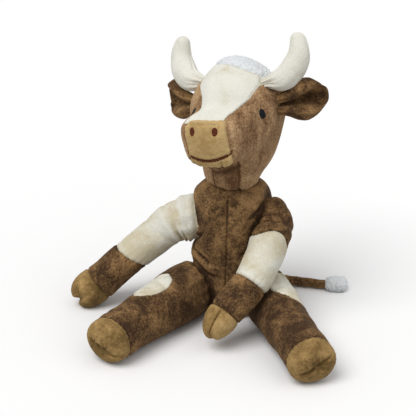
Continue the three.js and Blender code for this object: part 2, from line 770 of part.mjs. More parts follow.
const armLeft = {
  pivot: new Vector3(armLeftSide, -armLeftForward, torsoHeight - armLeftDrop),
  lineShares: armLeftLineShares,
  ringShares: armLeftRingShares,
  reach: armLeftReach,
  colourSeam: armLeftColourSeam,
  hoofSeam: armLeftHoofSeam,
  toesTurn: armLeftToesTurn,
  sleeve: colours.torso,
};
const armRight = {
  pivot: new Vector3(-armRightSide, -armRightForward, torsoHeight - armRightDrop),
  lineShares: armRightLineShares,
  ringShares: armRightRingShares,
  reach: armRightReach,
  colourSeam: armRightColourSeam,
  hoofSeam: armRightHoofSeam,
  toesTurn: armRightToesTurn,
  sleeve: colours.cream,
};

const cow = new THREE.Group();
cow.add(...torsoPieces(), ...tailPieces());
cow.add(...legPieces(1, 'left'), ...legPieces(-1, 'right'));
cow.add(...armPieces('left', armLeft), ...armPieces('right', armRight));
const onHead = {
  ...headPieces(),
  ...hornPieces(1, 'left'),
  ...hornPieces(-1, 'right'),
  ...earPieces(1, 'left'),
  ...earPieces(-1, 'right'),
};
for (const [name, [solid, colour]] of Object.entries(onHead)) headGroup.add(meshFrom(name, solid, colour));
headGroup.add(neckPiece());
cow.add(headGroup);

export default cow;
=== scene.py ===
"""A soft cow of cotton velour that sits on its seat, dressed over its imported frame.

Sizes are in millimetres until a mesh is made, when MM turns them into metres.
"""

import math

import bmesh
import bpy
import numpy as np
from mathutils import Euler, Matrix, Vector, noise
from mathutils.bvhtree import BVHTree


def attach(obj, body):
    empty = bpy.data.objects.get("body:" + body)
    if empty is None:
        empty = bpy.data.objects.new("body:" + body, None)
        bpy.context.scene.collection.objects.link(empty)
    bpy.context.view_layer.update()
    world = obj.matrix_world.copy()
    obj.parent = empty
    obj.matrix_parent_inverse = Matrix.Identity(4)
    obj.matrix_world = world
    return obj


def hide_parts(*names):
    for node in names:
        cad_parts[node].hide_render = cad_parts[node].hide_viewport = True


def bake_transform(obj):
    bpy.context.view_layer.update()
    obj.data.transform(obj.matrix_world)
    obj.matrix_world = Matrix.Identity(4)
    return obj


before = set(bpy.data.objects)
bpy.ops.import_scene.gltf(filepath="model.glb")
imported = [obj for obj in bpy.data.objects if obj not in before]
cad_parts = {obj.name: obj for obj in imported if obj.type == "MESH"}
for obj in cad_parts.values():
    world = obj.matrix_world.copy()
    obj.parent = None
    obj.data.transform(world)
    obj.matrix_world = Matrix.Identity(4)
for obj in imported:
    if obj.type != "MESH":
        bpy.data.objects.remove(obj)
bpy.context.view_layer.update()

MM = 0.001
# steps of a smooth line, rings of a rounded end, and places at which a gap to a form is measured
LINE_STEPS = 300
DOME_STEPS = 6
GAP_STEPS = 60

# Cloth and seams
CLOTH_THICK = 1.2
STITCH_PITCH = 3.4
# how deep and how wide the cloth sinks at each kind of seam or crease
SEAMS = {
    "cover": (1.3, 1.7), "join": (3.2, 5.2), "panel": (0.9, 1.6), "patch": (0.8, 1.5), "throat": (2.0, 1.6),
    "chin": (3.2, 2.8), "mouth": (1.8, 2.2), "horn": (0.7, 1.3), "horn_root": (1.8, 4.0), "hoof": (2.6, 1.5),
    "sole": (2.8, 2.0), "eye": (1.3, 1.8),
}
# the gathers beside each kind of seam: how deep they are, how far they reach, and from one to the next
PUCKERS = {
    "torso": (0.25, 9.0, 7.0), "armhole": (0.35, 9.0, 9.0), "hip": (0.7, 14.0, 13.0), "sole": (0.3, 8.0, 7.0),
    "shoulder": (0.4, 12.0, 12.0), "arm": (0.25, 7.0, 7.0), "nose": (0.2, 5.0, 6.0), "mouth": (0.7, 6.0, 7.0),
    "horn": (0.9, 9.0, 7.0), "tail": (0.4, 6.0, 6.0),
}
# places at which a crease's path is laid on the cloth
FOLD_STEPS = 20

# Filling
# a cover is drawn in by its slack, and its filling then pushes it out, by no more than its cap
SLACK = 1.0
HORN_SLACK = 0.4
TAIL_SLACK = 0.2
PLUMPING = 9000.0
PLUMPING_STEPS = 20
PLUMP_CAPS = {"torso": 3.0, "leg": 2.6, "arm": 2.2, "head": 2.2, "horn": 1.0}
# cloth this close to a seam is held meanwhile, and so is each form's root, an arm's counted from its pivot
SEAM_HELD = 1.0
ROOTS_HELD = {"torso": 3.0, "leg": 6.0, "arm": -6.0, "head": 6.0, "horn": 8.0}
# how uneven it is: the size of its lumps, their height, and where the noise for them starts
LUMPS = {
    "torso": (24, 1.3, 3.0), "leg": (20, 1.1, 5.0), "arm": (17, 1.0, 9.0), "head": (26, 1.0, 1.0),
    "horn": (14, 0.6, 12.0), "tail": (9, 0.9, 30.0),
}

# Pile, with painted shade and light
# how much darker each piece's cloth is drawn, with less than nothing for lighter. On the white of the arms
# and on the throat this is painted shade, on the horns and the blaze painted light where they face the light,
# and along the nose's rim a painted highlight; on the other pieces it shifts the tone of their cloth
TORSO_WEAR = -0.06
HEAD_WEAR = -0.06
BLAZE_PAINTED_LIGHT = -0.06
THROAT_PAINTED_SHADE = 0.1
NOSE_WEAR = -0.18
NOSE_RIM_PAINTED_HIGHLIGHT = -0.25
NOSE_RIM_HIGHLIGHT_WIDE = 1.6
HORN_PAINTED_LIGHT = -0.12
ARM_PAINTED_SHADE = 0.19
HOOF_WEARS = {1: -0.04, -1: 0.17}
LEG_WEARS = {1: 0.09, -1: 0.03}
PATCH_WEAR = 0.16
SOLE_TONE = 0.14
TAIL_WEAR = -0.09
# the most painted shade in a crease, which it reaches in a crease as deep as this, and the most painted
# highlight on a roll
CREASE_PAINTED_SHADE = 0.3
CREASE_DEEP = 3.2
ROLL_PAINTED_HIGHLIGHT = -0.05
# the fibres stand half a millimetre apart, too fine to show, so their grain is drawn four times as coarse
PILE_GRAIN = 2.0
# the fleece's curls and their unevenness, then the curls and loops that its finish draws on them
CURL_SIZE = 3.2
CURL_FINE = 1.5
CURL_SHADE = 2.6
LOOP_GRAIN = 0.9
# the embroidery's strands are 0.4 mm wide, too fine to show, so they are drawn coarser
STRAND_WIDE = 1.0

# Torso
TORSO_HEIGHT = 142.0
TORSO_WIDE = 88.0
TORSO_DEEP = 78.0
TORSO_RING_SHARES = [
    (0, 0.86, 0.88), (0.06, 0.96, 0.98), (0.16, 1.02, 1.04), (0.3, 1.02, 1.04), (0.44, 0.96, 1.0),
    (0.6, 0.97, 0.95), (0.74, 1.0, 0.92), (0.86, 0.98, 0.88), (0.94, 0.86, 0.82), (1, 0.69, 0.76),
]
# the flat oval that closes the torso underneath
SEAT_WIDE = 52.0
SEAT_DEEP = 44.0
SEAT_RISE = 3.0
# creases of the seated torso: a path on the cloth, its depth and its width
TORSO_FOLDS = [
    ([(-43, 10, 71), (-42, -6, 70), (-37, -18, 68), (-24, -32, 65), (-16, -36, 61)], 5.0, 2.7),
    ([(-43, -4, 57), (-39, -14, 56), (-28, -32, 53), (-15, -38, 49), (-2, -41, 46)], 3.8, 2.6),
    ([(-42, 4, 73), (-40, -10, 77), (-37, -18, 81), (-27, -29, 91), (-22, -31, 99)], 3.4, 2.5),
    ([(-32, -24, 118), (-26, -29, 108), (-24, -31, 96)], 1.6, 3.4),
    ([(38, -14, 128), (29, -26, 121), (21, -31, 112), (16, -34, 99)], 3.0, 3.0),
    ([(31, -30, 92), (24, -36, 80), (12, -40, 69)], 3.2, 3.0),
    ([(34, -24, 72), (24, -35, 62), (10, -41, 56)], 2.2, 3.2),
    ([(-34, 18, 60), (-20, 34, 55), (0, 39, 58)], 1.8, 4.0),
    ([(34, 18, 72), (22, 32, 66), (6, 38, 68)], 1.5, 4.0),
]
# where the cover slopes in from the collar to the left shoulder
COLLAR_SLOPE = (39, 2, 129)
COLLAR_SLOPE_DEPTH = 5.0
COLLAR_SLOPE_REACH = 15.0
# the middle seam shows in front and behind, not over the collar
TORSO_SEAM_FROM = 12.0
# the joins with the legs start this far up, and all relief fades out this close to collar and seat
TORSO_JOIN_RISE = 4.0
TORSO_FADE = 6.0
COLLAR_RELIEF = 0.15
# the gathers round an armhole
ARMHOLE_MIDDLE = (-10.0, 100.0)
ARMHOLE_RADIUS = 20.0
ARMHOLE_REACH = 30.0

# Head, in its own frame: +X to the cow's left, -Y forwards, the origin in the middle of the skull
HEAD_CENTRE = (7.0, -3.0, 216.5)
HEAD_TURN = math.radians(-17)
HEAD_TILT = math.radians(9)
# heights between which the neck bends, and the cover under the collar twists
NECK_SOFT_FROM = 143.0
NECK_SOFT_TO = 172.0
COLLAR_SOFT_FROM = 116.0
SKULL_HEIGHT = 133.0
SKULL_WIDE = 92.0
SKULL_DEEP = 96.0
SKULL_LINE_SHARES = [
    (-0.165, 0, -0.54), (-0.13, 0, -0.4), (-0.045, 0, -0.2), (-0.02, 0, 0), (-0.01, 0, 0.44),
]
SKULL_RING_SHARES = [
    (0, 0.63, 0.61), (0.1, 0.64, 0.62), (0.22, 0.72, 0.7), (0.35, 0.83, 0.83), (0.5, 0.95, 0.96),
    (0.64, 1, 1), (0.77, 0.93, 0.94), (0.88, 0.75, 0.76), (1, 0.6, 0.6),
]
SKULL_DOME = 34.0
SKULL_SQUARE = 2.25
SKULL_ASIDE = -0.02 * SKULL_HEIGHT
MUZZLE_REACH = 76.0
MUZZLE_DROP = 14.0
MUZZLE_ASIDE = 3.0
MUZZLE_WIDE = 52.0
MUZZLE_HIGH = 50.0
MUZZLE_RING_SHARES = [
    (0, 1.5, 1.2), (0.25, 1.42, 1.2), (0.5, 1.27, 1.12), (0.75, 1.16, 1.06), (1, 1.06, 1.02),
]
MUZZLE_DOME = 11.0
MUZZLE_SQUARE = 4.4
# the nose patch, a rounded rectangle on the muzzle's front
NOSE_SIDE = 1.2
NOSE_RISE = -10.8
NOSE_WIDE = 45.0
NOSE_HIGH = 48.4
NOSE_BACK = 56.0
NOSE_SQUARE = 6.0
# how far it stands out, with a rounded rim along its seam
NOSE_RAISED = 1.3
NOSE_EDGE = 1.2
NOSE_RIM_RISE = 0.7
NOSE_RIM_INSIDE = 1.8
NOSE_RIM_WIDE = 1.4
# the blaze's two edges, sideways and upwards, as shares of the skull's width and height
BLAZE_LEFT_SHARES = [(0.18, 0.07), (0.2, 0.1), (0.33, 0.18), (0.37, 0.25), (0.34, 0.34), (0.34, 0.5)]
BLAZE_RIGHT_SHARES = [
    (-0.28, 0.07), (-0.25, 0.1), (-0.18, 0.13), (-0.2, 0.21), (-0.25, 0.25), (-0.33, 0.29), (-0.4, 0.33),
    (-0.45, 0.5),
]
BLAZE_BACK = -9.0
BLAZE_SEAM_TO = 3.0
# the fleece on the crown
CROWN_WIDE = 60.0
CROWN_DEEP = 44.0
CROWN_BACK = 8.0
CROWN_SIDE = 5.0
CROWN_HEIGHT = 20.0
CROWN_CURL_RISE = 1.3
CROWN_CURL_DEPTH = 1.2
CROWN_CURLS_FROM = 2.5
# the strip under the chin
THROAT_RIGHT = -26.0
THROAT_LEFT = 7.0
THROAT_TAPER = 0.33
THROAT_TOP = -46.0
THROAT_SEAM_TO = -27.0
# from point to point of the cover over skull and muzzle
HEAD_GRAIN = 3.2
CHIN_FOLD = [(-28, -27, -52), (-17.6, -31, -53.5), (-6, -32, -51), (4.2, -30.7, -47.6), (13, -28, -45)]

# Face
EYE_WIDE = 7.0
EYE_HIGH = 11.0
# the turn that each eye is seen from, and how far aside and up it lies there
EYE_TURNS = {1: math.radians(57), -1: math.radians(-55)}
EYE_PLACES = {1: (0.0, 7.0), -1: (21.5, 12.5)}
# from the head's upright axis to where a sight line meets the cloth, and to where it starts
EYE_REACH = 49.5
SIGHT_FROM = 200.0
EYE_LEAN = math.radians(19)
EYE_SOCKET = (2.0, 8.0)
EYE_CREASE = [(0.0, 0.0, -3.0), (4.0, 4.0, -16.0)]
NOSTRIL_WIDE = 6.0
NOSTRIL_HIGH = 8.5
NOSTRIL_CENTRE = 0.7
NOSTRIL_SIDE = 12.5
NOSTRIL_RISE = 3.4
NOSTRIL_PIT = (1.6, 4.0)
MOUTH_SIDE = -1.5
MOUTH_HALF = 23.5
MOUTH_RISE = -26.0
MOUTH_SAG = 5.0
LIPS_BEYOND = 3.0
MOUTH_THREAD = 2.4
MOUTH_RAISED = 0.3
MOUTH_STEPS = 25
# satin stitches: how far they bulge from the cloth, and how far their edge sinks into it
SATIN_BULGE = 1.3
SATIN_SUNK = 0.15
SATIN_THICK = 0.8
SATIN_RINGS = (0.0, 0.25, 0.5, 0.75, 0.92, 1.0)
SATIN_SIDES = 28

# Horns
HORN_LENGTH = 78.0
HORN_THICK = 22.0
HORN_ROOT_SHARES = (0.42, -0.03, 0.25)
HORN_LINE_SHARES = [(-0.12, 0, -0.03), (0, 0, 0), (0.21, 0.03, 0.05), (0.36, 0.15, 0.28), (0.32, 0.24, 0.58)]
HORN_RING_SHARES = [
    (0, 0.5, 0.5), (0.1, 0.5, 0.5), (0.25, 1.0, 1.0), (0.48, 1.2, 1.2), (0.76, 0.95, 0.95), (1, 0.6, 0.6),
]
HORN_DOME = 6.0
HORN_SEAM_FROM = 10.0
HORN_GATHERS_TO = 14.0
HORN_ROOT_RADIUS = 10.0

# Ears, each a leaf of two cloth layers; heights and depths at stations along it
EAR_ROOT_SIDE = 46.0
EAR_LENGTH = 50.0
EAR_ROOT_BACK = 1.0
EAR_RISE = 10.0
EAR_SWEEP = math.radians(20)
EAR_LIFT = math.radians(2)
EAR_STATIONS = (0, 0.25, 0.5, 0.75, 0.92, 1)
EAR_HALF_HEIGHTS = (11.0, 15.0, 21.5, 23.5, 19.0, 13.0)
EAR_HOLLOW = (4.0, 9.0, 11.0, 9.0, 5.0, 2.0)
EAR_LOBES = (7.0, 11.0, 11.0, 8.0, 4.0, 1.5)
EAR_VALLEY_SHARES = (0.08, 0.14, 0.3, 0.5, 0.72, 0.84)
EAR_RAISED = 3.5
EAR_PUFF = 1.8
EAR_RIM = 0.7
EAR_LAYER = 0.6
EAR_PLEAT = 1.1
EAR_PLEATS = 5.5
EAR_PLEAT_FADE = 1.6
EAR_CORNER = 0.2
EAR_NARROWING = 0.12
EAR_LOBE_FROM = 0.7
EAR_SOFT = 9.0

# Arms
ARM_THICK = 39.0
ARM_RING_SHARES = {
    1: [
        (0, 0.84, 0.9), (0.2, 0.98, 1), (0.5, 0.96, 0.98), (0.75, 0.94, 0.92), (0.88, 0.86, 0.82),
        (1, 0.62, 0.6),
    ],
    -1: [
        (0, 1.42, 1.16), (0.13, 1.3, 1.12), (0.27, 1.06, 1.05), (0.5, 0.98, 1), (0.75, 1, 1),
        (0.88, 1.04, 0.98), (1, 0.88, 0.78),
    ],
}
ARM_DOME = 17.0
ARM_REACH = 139.0
# the cleft between the two toes of each hoof
CLEFT_DEPTHS = {1: 3.5, -1: 6.0}
CLEFT_HALF = 3.2
CLEFT_SIDES = {1: -2.0, -1: 3.0}
# where each arm bends, and the line along its middle
ARM_PIVOTS = {1: (47.0, -17.0, 107.0), -1: (-56.0, -6.0, 94.0)}
ARM_LINE_SHARES = {
    1: [
        (-0.12, 0.12, 0.06), (0, 0, 0), (-0.02, -0.16, -0.105), (-0.098, -0.37, -0.32),
        (-0.26, -0.56, -0.51), (-0.352, -0.71, -0.65),
    ],
    -1: [
        (0.16, 0.03, 0.03), (0, 0, 0), (-0.23, -0.06, -0.165), (-0.45, -0.15, -0.352),
        (-0.63, -0.215, -0.515), (-0.79, -0.32, -0.61),
    ],
}
# seams along each arm, from its pivot: under the sleeve, between the colours, and at the hoof
ARM_SLEEVE = 19.0
ARM_COLOUR_SEAMS = {1: 74.0, -1: 66.0}
ARM_HOOF_SEAMS = {1: 113.0, -1: 114.0}
ARM_SEAM_SLANTS = {1: 0.0, -1: 6.0}
SHOULDER_GATHERS_BEFORE = 4.0
# the left sleeve's lower seam dips on one side of the arm
SLEEVE_DIP = 9.0
SLEEVE_TURN = 0.9
# the fullness of the left sleeve over the shoulder
SHOULDER_PUFF = (47, -13, 126)
SHOULDER_PUFF_RISE = 5.0
SHOULDER_PUFF_REACH = 11.0
# the sewn line on a hoof's upper side, with the small pleats that leave it
HOOF_LINE_SIDE = 7.0
HOOF_PLEAT_REACH = 11.0
HOOF_PLEAT_DEPTH = 0.6
HOOF_PLEAT_SLANT = 0.9
# the creases that an arm's bend presses: place from the pivot, lean round the arm, depth and width
ARM_CREASES = {
    1: [(4, 3, 2.0, 3.2), (12, -3, 1.5, 2.8)],
    -1: [(-1, 0, 5.0, 2.7), (7, 2, 3.6, 2.4), (22, 9, 1.5, 4.5)],
}
ARM_VALLEY = (5, -2, 3.0, 4.2)
# cloth that bends, before and beyond the pivot
ARM_SOFT_BEFORE = 10.0
ARM_SOFT_BEYOND = 16.0
ARM_TOES_TURNS = {1: 0.0, -1: math.radians(115)}

# Legs
LEG_LENGTH = 169.0
LEG_SPLAY = {1: math.radians(29), -1: math.radians(24)}
LEG_ROOT = (31.0, -8.0, 27.5)
LEG_THICK = 56.0
ANKLE_THICK = 46.0
LEG_RING_SHARES = {
    1: [
        (0, 0.9, 0.9), (0.2, 0.97, 0.97), (0.4, 0.9, 0.92), (0.6, 0.84, 0.85), (0.8, 0.83, 0.82),
        (1, 0.95, 0.86),
    ],
    -1: [
        (0, 0.9, 0.9), (0.2, 1.02, 1.02), (0.4, 0.97, 0.98), (0.6, 0.88, 0.88), (0.8, 0.86, 0.83),
        (1, 0.99, 0.87),
    ],
}
LEG_DOME = 14.0
LEG_HOOF_SEAM = 148.0
# cloth that bends at the hip
LEG_SOFT_FROM = 12.0
LEG_SOFT_TO = 60.0
# each white patch: where it lies along and around its leg, with half its length and width
PATCHES = {1: (46.0, math.radians(45), 30.0, 30.0), -1: (77.0, math.radians(72), 25.0, 19.0)}
# on the soles, sideways and upwards from the middle: stitches pulled through, and tucks between them
SOLE_PITS = {1: [(3.0, 1.0)], -1: [(-8.5, -0.5), (4.5, -3.5)]}
SOLE_TUCKS = {
    1: [[(-17, -8), (-8, -5), (3, 1)], [(3, 1), (10, 6), (18, 9)]],
    -1: [[(-8.5, -0.5), (4.5, -3.5)], [(4.5, -3.5), (14, -8), (23, -10)], [(-8.5, -0.5), (-15, 3)]],
}
# stitches pulled through the sole: how deep and wide, with a ring of small folds round each
SOLE_PIT = (4.2, 2.8)
SOLE_STAR_DEPTH = 1.5
SOLE_STAR_RADIUS = 5.0
SOLE_STAR_WIDTH = 3.4
SOLE_STAR_RAYS = 7
SOLE_FADE = 20.0
# creases on the legs: place along, turn about, slant and depth
LEG_CREASES = [
    (58, 1.9, 9, 1.6), (74, 1.2, -7, 1.5), (96, 2.2, 8, 1.2), (112, 1.3, -6, 1.3), (134, 1.9, 5, 1.4),
]
LEG_CREASE_WIDTH = 3.6
LEG_CREASE_TURN = 0.55
HIP_GATHERS_TO = 34.0
LEG_JOIN_RISE = 5.0
LEG_FLOOR_FADE = 5.0

# Tail
TAIL_ROOT = (4.0, 36.0, 5.5)
TAIL_LENGTH = 98.0
TAIL_THICK = 12.0
TAIL_END_RADIUS = 9.0
TAIL_LINE_SHARES = [
    (0, 0, 0), (0.01, 0.08, 0), (0.1, 0.17, 0), (0.3, 0.2, 0), (0.6, 0.19, 0), (0.93, 0.19, 0),
]
TAIL_BEND = (1.0, 13.0, 0.0)
TAIL_RING_SHARES = [(0, 1, 1), (0.5, 0.95, 0.95), (1, 0.85, 0.85)]
TUFT_LENGTH = 24.0
TUFT_THICK = 18.5
TUFT_RING_SHARES = [(0, 0.75, 0.75), (0.2, 1, 0.95), (0.6, 1.05, 1), (1, 0.95, 0.9)]
TUFT_DOME = 6.0
TUFT_CURL_RISE = 0.8
TUFT_CURL_DEPTH = 1.4

# Camera and light
CAMERA_TARGET = (-26.6, -5.7, 110.9)
CAMERA_TURN = math.radians(13)
CAMERA_RISE = math.radians(23)
CAMERA_DISTANCE = 1200.0
CAMERA_LENS = 98.9
# each sun: the way to it, how wide its light spreads, and its strength
SUNS = {
    "key": ((-0.3, -0.5, 0.9), math.radians(40), 1.75),
    "fill": ((0.7, -0.3, 0.8), math.radians(70), 0.5),
}
# soft light from all round, and pale paper under the cow
ROOM_LIGHT = 0.42
FLOOR_RADIUS = 4000.0
FLOOR_DROP = 0.5
FLOOR_SHADE = "#c4c4c4"


# Curves and forms

def smooth_values(stations, values, at):
    """A smooth curve through values that are known at a few stations."""
    stations = np.asarray(stations, float)
    values = np.asarray(values, float).reshape(len(stations), -1)
    slopes = np.gradient(values, stations, axis=0)
    at = np.clip(np.atleast_1d(at), stations[0], stations[-1])
    right = np.clip(np.searchsorted(stations, at), 1, len(stations) - 1)
    left = right - 1
    span = (stations[right] - stations[left])[:, None]
    t = (at - stations[left])[:, None] / span
    rise = t * t * (3 - 2 * t)
    return (
        values[left] * (1 - rise) + values[right] * rise
        + slopes[left] * span * t * (1 - t) ** 2 - slopes[right] * span * t * t * (1 - t)
    )


def line_through(points):
    """A smooth line through a few points, with the length that it has run at each of its steps."""
    points = np.asarray(points, float)
    stations = np.append(0, np.cumsum(np.linalg.norm(np.diff(points, axis=0), axis=1)))
    fine = smooth_values(stations, points, np.linspace(0, stations[-1], LINE_STEPS))
    lengths = np.append(0, np.cumsum(np.linalg.norm(np.diff(fine, axis=0), axis=1)))
    return {"points": fine, "lengths": lengths}


def scaled_points(start, shares, length):
    return np.asarray(start, float) + np.asarray(shares, float) * length


def along_line(line, at):
    """Places and directions at distances along a line, which goes straight on beyond its ends."""
    lengths = line["lengths"]
    inside = np.clip(at, 0, lengths[-1])
    ways = np.gradient(line["points"], lengths, axis=0)
    places = np.stack([np.interp(inside, lengths, line["points"][:, k]) for k in range(3)], axis=-1)
    ways = np.stack([np.interp(inside, lengths, ways[:, k]) for k in range(3)], axis=-1)
    ways /= np.linalg.norm(ways, axis=-1, keepdims=True)
    return places + ways * (at - inside)[:, None], ways


def line_length(line):
    return line["lengths"][-1]


def ring_axes(form, ways):
    sideways = np.asarray(form.get("sideways", (1, 0, 0)), float)
    across = sideways - (ways @ sideways)[:, None] * ways
    across /= np.linalg.norm(across, axis=1, keepdims=True)
    return across, np.cross(across, ways)


def ring_stops(form, grow):
    """Distances of a form's rings along its line, with how round it has become there."""
    length = line_length(form["line"])
    root, tip = form.get("root_dome", 0), form.get("tip_dome", 0)
    dome = np.linspace(0, math.pi / 2, DOME_STEPS)[:-1]
    count = max(2, round((length - root - tip) / form["spacing"]))
    body = np.linspace(root, length - tip, count + 1)
    for seam in form.get("seams", ()):
        body[np.abs(body - seam).argmin()] = seam
    stops = [(at, 1.0) for at in body]
    if root:
        stops = [(root - (root + grow) * math.cos(a), math.sin(a)) for a in dome] + stops
    else:
        stops = [(-grow, 0.0), (-grow, 0.5)] + stops
    if tip:
        stops += [(length - tip + (tip + grow) * math.cos(a), math.sin(a)) for a in dome[::-1]]
    else:
        stops += [(length + grow, 0.5), (length + grow, 0.0)]
    return stops


def spin_round(bm, profile, sides):
    """Spins a profile round the upright axis, with one point where it meets the axis."""
    edges = [bm.edges.new(pair) for pair in zip(profile, profile[1:])]
    bmesh.ops.spin(
        bm, geom=profile + edges, cent=(0, 0, 0), axis=(0, 0, 1), dvec=(0, 0, 0),
        angle=2 * math.pi, steps=sides, use_merge=True,
    )
    bmesh.ops.remove_doubles(bm, verts=bm.verts, dist=1e-4)


def stuffed_form(name, form, grow=0.0):
    """A spindle spun round an axis, then laid along its line and widened ring by ring."""
    stops = ring_stops(form, grow)
    bm = bmesh.new()
    profile = [bm.verts.new((fullness, 0, i)) for i, (_, fullness) in enumerate(stops)]
    spin_round(bm, profile, form["sides"])
    obj = new_object(name, bm)
    raw = coordinates(obj, 1.0)
    at = np.interp(raw[:, 2], np.arange(len(stops)), [stop[0] for stop in stops])
    places, ways = along_line(form["line"], at)
    across, through = ring_axes(form, ways)
    rings = np.asarray(form["rings"], float)
    widths = smooth_values(rings[:, 0], rings[:, 1:], at / line_length(form["line"]))
    square = form.get("square", 2)
    reach = np.hypot(raw[:, 0], raw[:, 1])
    power = (np.abs(raw[:, 0]) ** square + np.abs(raw[:, 1]) ** square) ** (1 / square)
    fullness = np.where(reach > 1e-6, reach / np.maximum(power, 1e-6), 1)
    half_wide = (widths[:, 0] * form["wide"] / 2 + grow) * raw[:, 0] * fullness
    half_deep = (widths[:, 1] * form["deep"] / 2 + grow) * raw[:, 1] * fullness
    place_points(obj, places + across * half_wide[:, None] + through * half_deep[:, None])
    for label, values in (("along", at), ("across", raw[:, 0]), ("through", raw[:, 1])):
        obj.data.attributes.new(label, "FLOAT", "POINT").data.foreach_set("value", values.astype(np.float32))
    point_outwards(obj)
    return obj


def limb_gap(points, form):
    """How far points are from a form's skin, roughly, with less than nothing inside it."""
    places = np.linspace(0, line_length(form["line"]), GAP_STEPS)
    centres, _ = along_line(form["line"], places)
    gaps = np.linalg.norm(points[:, None, :] - centres[None, :, :], axis=2)
    nearest = gaps.argmin(axis=1)
    rings = np.asarray(form["rings"], float)
    widths = smooth_values(rings[:, 0], rings[:, 1:], places / places[-1])
    radii = (widths[:, 0] * form["wide"] + widths[:, 1] * form["deep"]) / 4
    return gaps[np.arange(len(points)), nearest] - radii[nearest]


# Meshes

def new_object(name, bm):
    mesh = bpy.data.meshes.new(name)
    bm.to_mesh(mesh)
    bm.free()
    obj = bpy.data.objects.new(name, mesh)
    bpy.context.scene.collection.objects.link(obj)
    return obj


def coordinates(obj, unit=MM):
    values = np.empty(len(obj.data.vertices) * 3, np.float32)
    obj.data.vertices.foreach_get("co", values)
    return values.reshape(-1, 3).astype(float) / unit


def place_points(obj, points, unit=MM):
    obj.data.vertices.foreach_set("co", (points * unit).astype(np.float32).ravel())
    obj.data.update()


def outward_ways(obj):
    values = np.empty(len(obj.data.vertices) * 3, np.float32)
    obj.data.vertex_normals.foreach_get("vector", values)
    return values.reshape(-1, 3).astype(float)


def attribute(obj, label):
    values = np.empty(len(obj.data.vertices), np.float32)
    obj.data.attributes[label].data.foreach_get("value", values)
    return values.astype(float)


def point_outwards(obj):
    bm = bmesh.new()
    bm.from_mesh(obj.data)
    bmesh.ops.recalc_face_normals(bm, faces=bm.faces)
    bm.to_mesh(obj.data)
    bm.free()


def settle(obj):
    """Makes an object's modifiers part of its mesh."""
    shown = obj.evaluated_get(bpy.context.evaluated_depsgraph_get())
    mesh = bpy.data.meshes.new_from_object(shown)
    obj.modifiers.clear()
    old, obj.data = obj.data, mesh
    bpy.data.meshes.remove(old)


def divide(obj, levels):
    finer = obj.modifiers.new("finer", "SUBSURF")
    finer.levels = levels
    finer.render_levels = levels
    settle(obj)


def plump(obj, held, cap):
    """Lets the cloth swell over its filling while its seams are held, and caps how far it may move."""
    before = coordinates(obj)
    group = obj.vertex_groups.new(name="seams")
    group.add([int(i) for i in np.flatnonzero(held)], 1.0, "REPLACE")
    cloth = obj.modifiers.new("cloth", "CLOTH")
    cloth.settings.quality = 6
    cloth.settings.mass = 0.3
    cloth.settings.use_pressure = True
    cloth.settings.uniform_pressure_force = PLUMPING
    cloth.settings.vertex_group_mass = "seams"
    cloth.settings.effector_weights.gravity = 0
    cloth.point_cache.frame_start = 1
    cloth.point_cache.frame_end = PLUMPING_STEPS
    for step in range(1, PLUMPING_STEPS + 1):
        bpy.context.scene.frame_set(step)
    settle(obj)
    bpy.context.scene.frame_set(1)
    moved = coordinates(obj) - before
    far = np.linalg.norm(moved, axis=1, keepdims=True)
    place_points(obj, before + moved * np.minimum(1, cap / np.maximum(far, 1e-6)))


def rest_on_floor(obj):
    points = coordinates(obj)
    points[:, 2] = np.maximum(points[:, 2], 0.0)
    place_points(obj, points)


# Seams, folds and puckers, each as how far the skin moves outwards

def groove(gap, depth, width):
    return -depth * np.exp(-(gap / width) ** 2)


def roll(gap, depth, width):
    """A crease with a soft roll of cloth on each side."""
    share = (gap / width) ** 2
    return -depth * (1 - 0.75 * share) * np.exp(-0.75 * share)


def fold(points, path, depth, width):
    """A crease along a path, laid on the cloth nearest to it, deepest in its middle."""
    path = np.asarray(path, float)
    stops = np.arange(len(path))
    at = np.linspace(0, stops[-1], FOLD_STEPS)
    path = np.stack([np.interp(at, stops, values) for values in path.T], axis=1)
    path = np.array([points[((points - stop) ** 2).sum(axis=1).argmin()] for stop in path])
    for _ in range(2):
        path[1:-1] = (path[:-2] + 2 * path[1:-1] + path[2:]) / 4
    best = np.full(len(points), np.inf)
    share = np.zeros(len(points))
    for i, (start, end) in enumerate(zip(path, path[1:])):
        way = end - start
        t = np.clip((points - start) @ way / (way @ way), 0, 1)
        gap = np.linalg.norm(points - start - t[:, None] * way, axis=1)
        nearer = gap < best
        best[nearer] = gap[nearer]
        share[nearer] = (i + t[nearer]) / (len(path) - 1)
    return roll(best, depth, width) * np.sin(math.pi * np.clip(share, 0.03, 0.97)) ** 0.7


def puckers(gap, run, kind):
    """Small gathers that a seam pulls into the cloth beside it."""
    depth, reach, pitch = PUCKERS[kind]
    wave = np.cos(2 * math.pi * run / pitch + 1.7 * np.sin(run / (1.9 * pitch)))
    return depth * wave * np.exp(-np.abs(gap) / reach)


def lumps(points, kind, side=0):
    """The unevenness of fibre filling under the cloth."""
    size, height, start = LUMPS[kind]
    start += side
    shift = Vector((start, 1.7 * start, 2.3 * start))
    return height * np.array([noise.noise(Vector(p) / size + shift) for p in points])


def swell(obj, outwards):
    """Moves the skin outwards. Where it sinks into a crease the cloth gets painted shade, and on a roll a
    painted highlight.
    """
    place_points(obj, coordinates(obj) + outward_ways(obj) * outwards[:, None])
    # painted shade in creases, and a painted highlight where the cloth rises
    crease_shade = np.clip(-outwards / CREASE_DEEP, 0, 1) ** 1.6
    add_tone_and_painted_shading(obj, CREASE_PAINTED_SHADE * crease_shade + ROLL_PAINTED_HIGHLIGHT * np.clip(outwards, 0, 1))


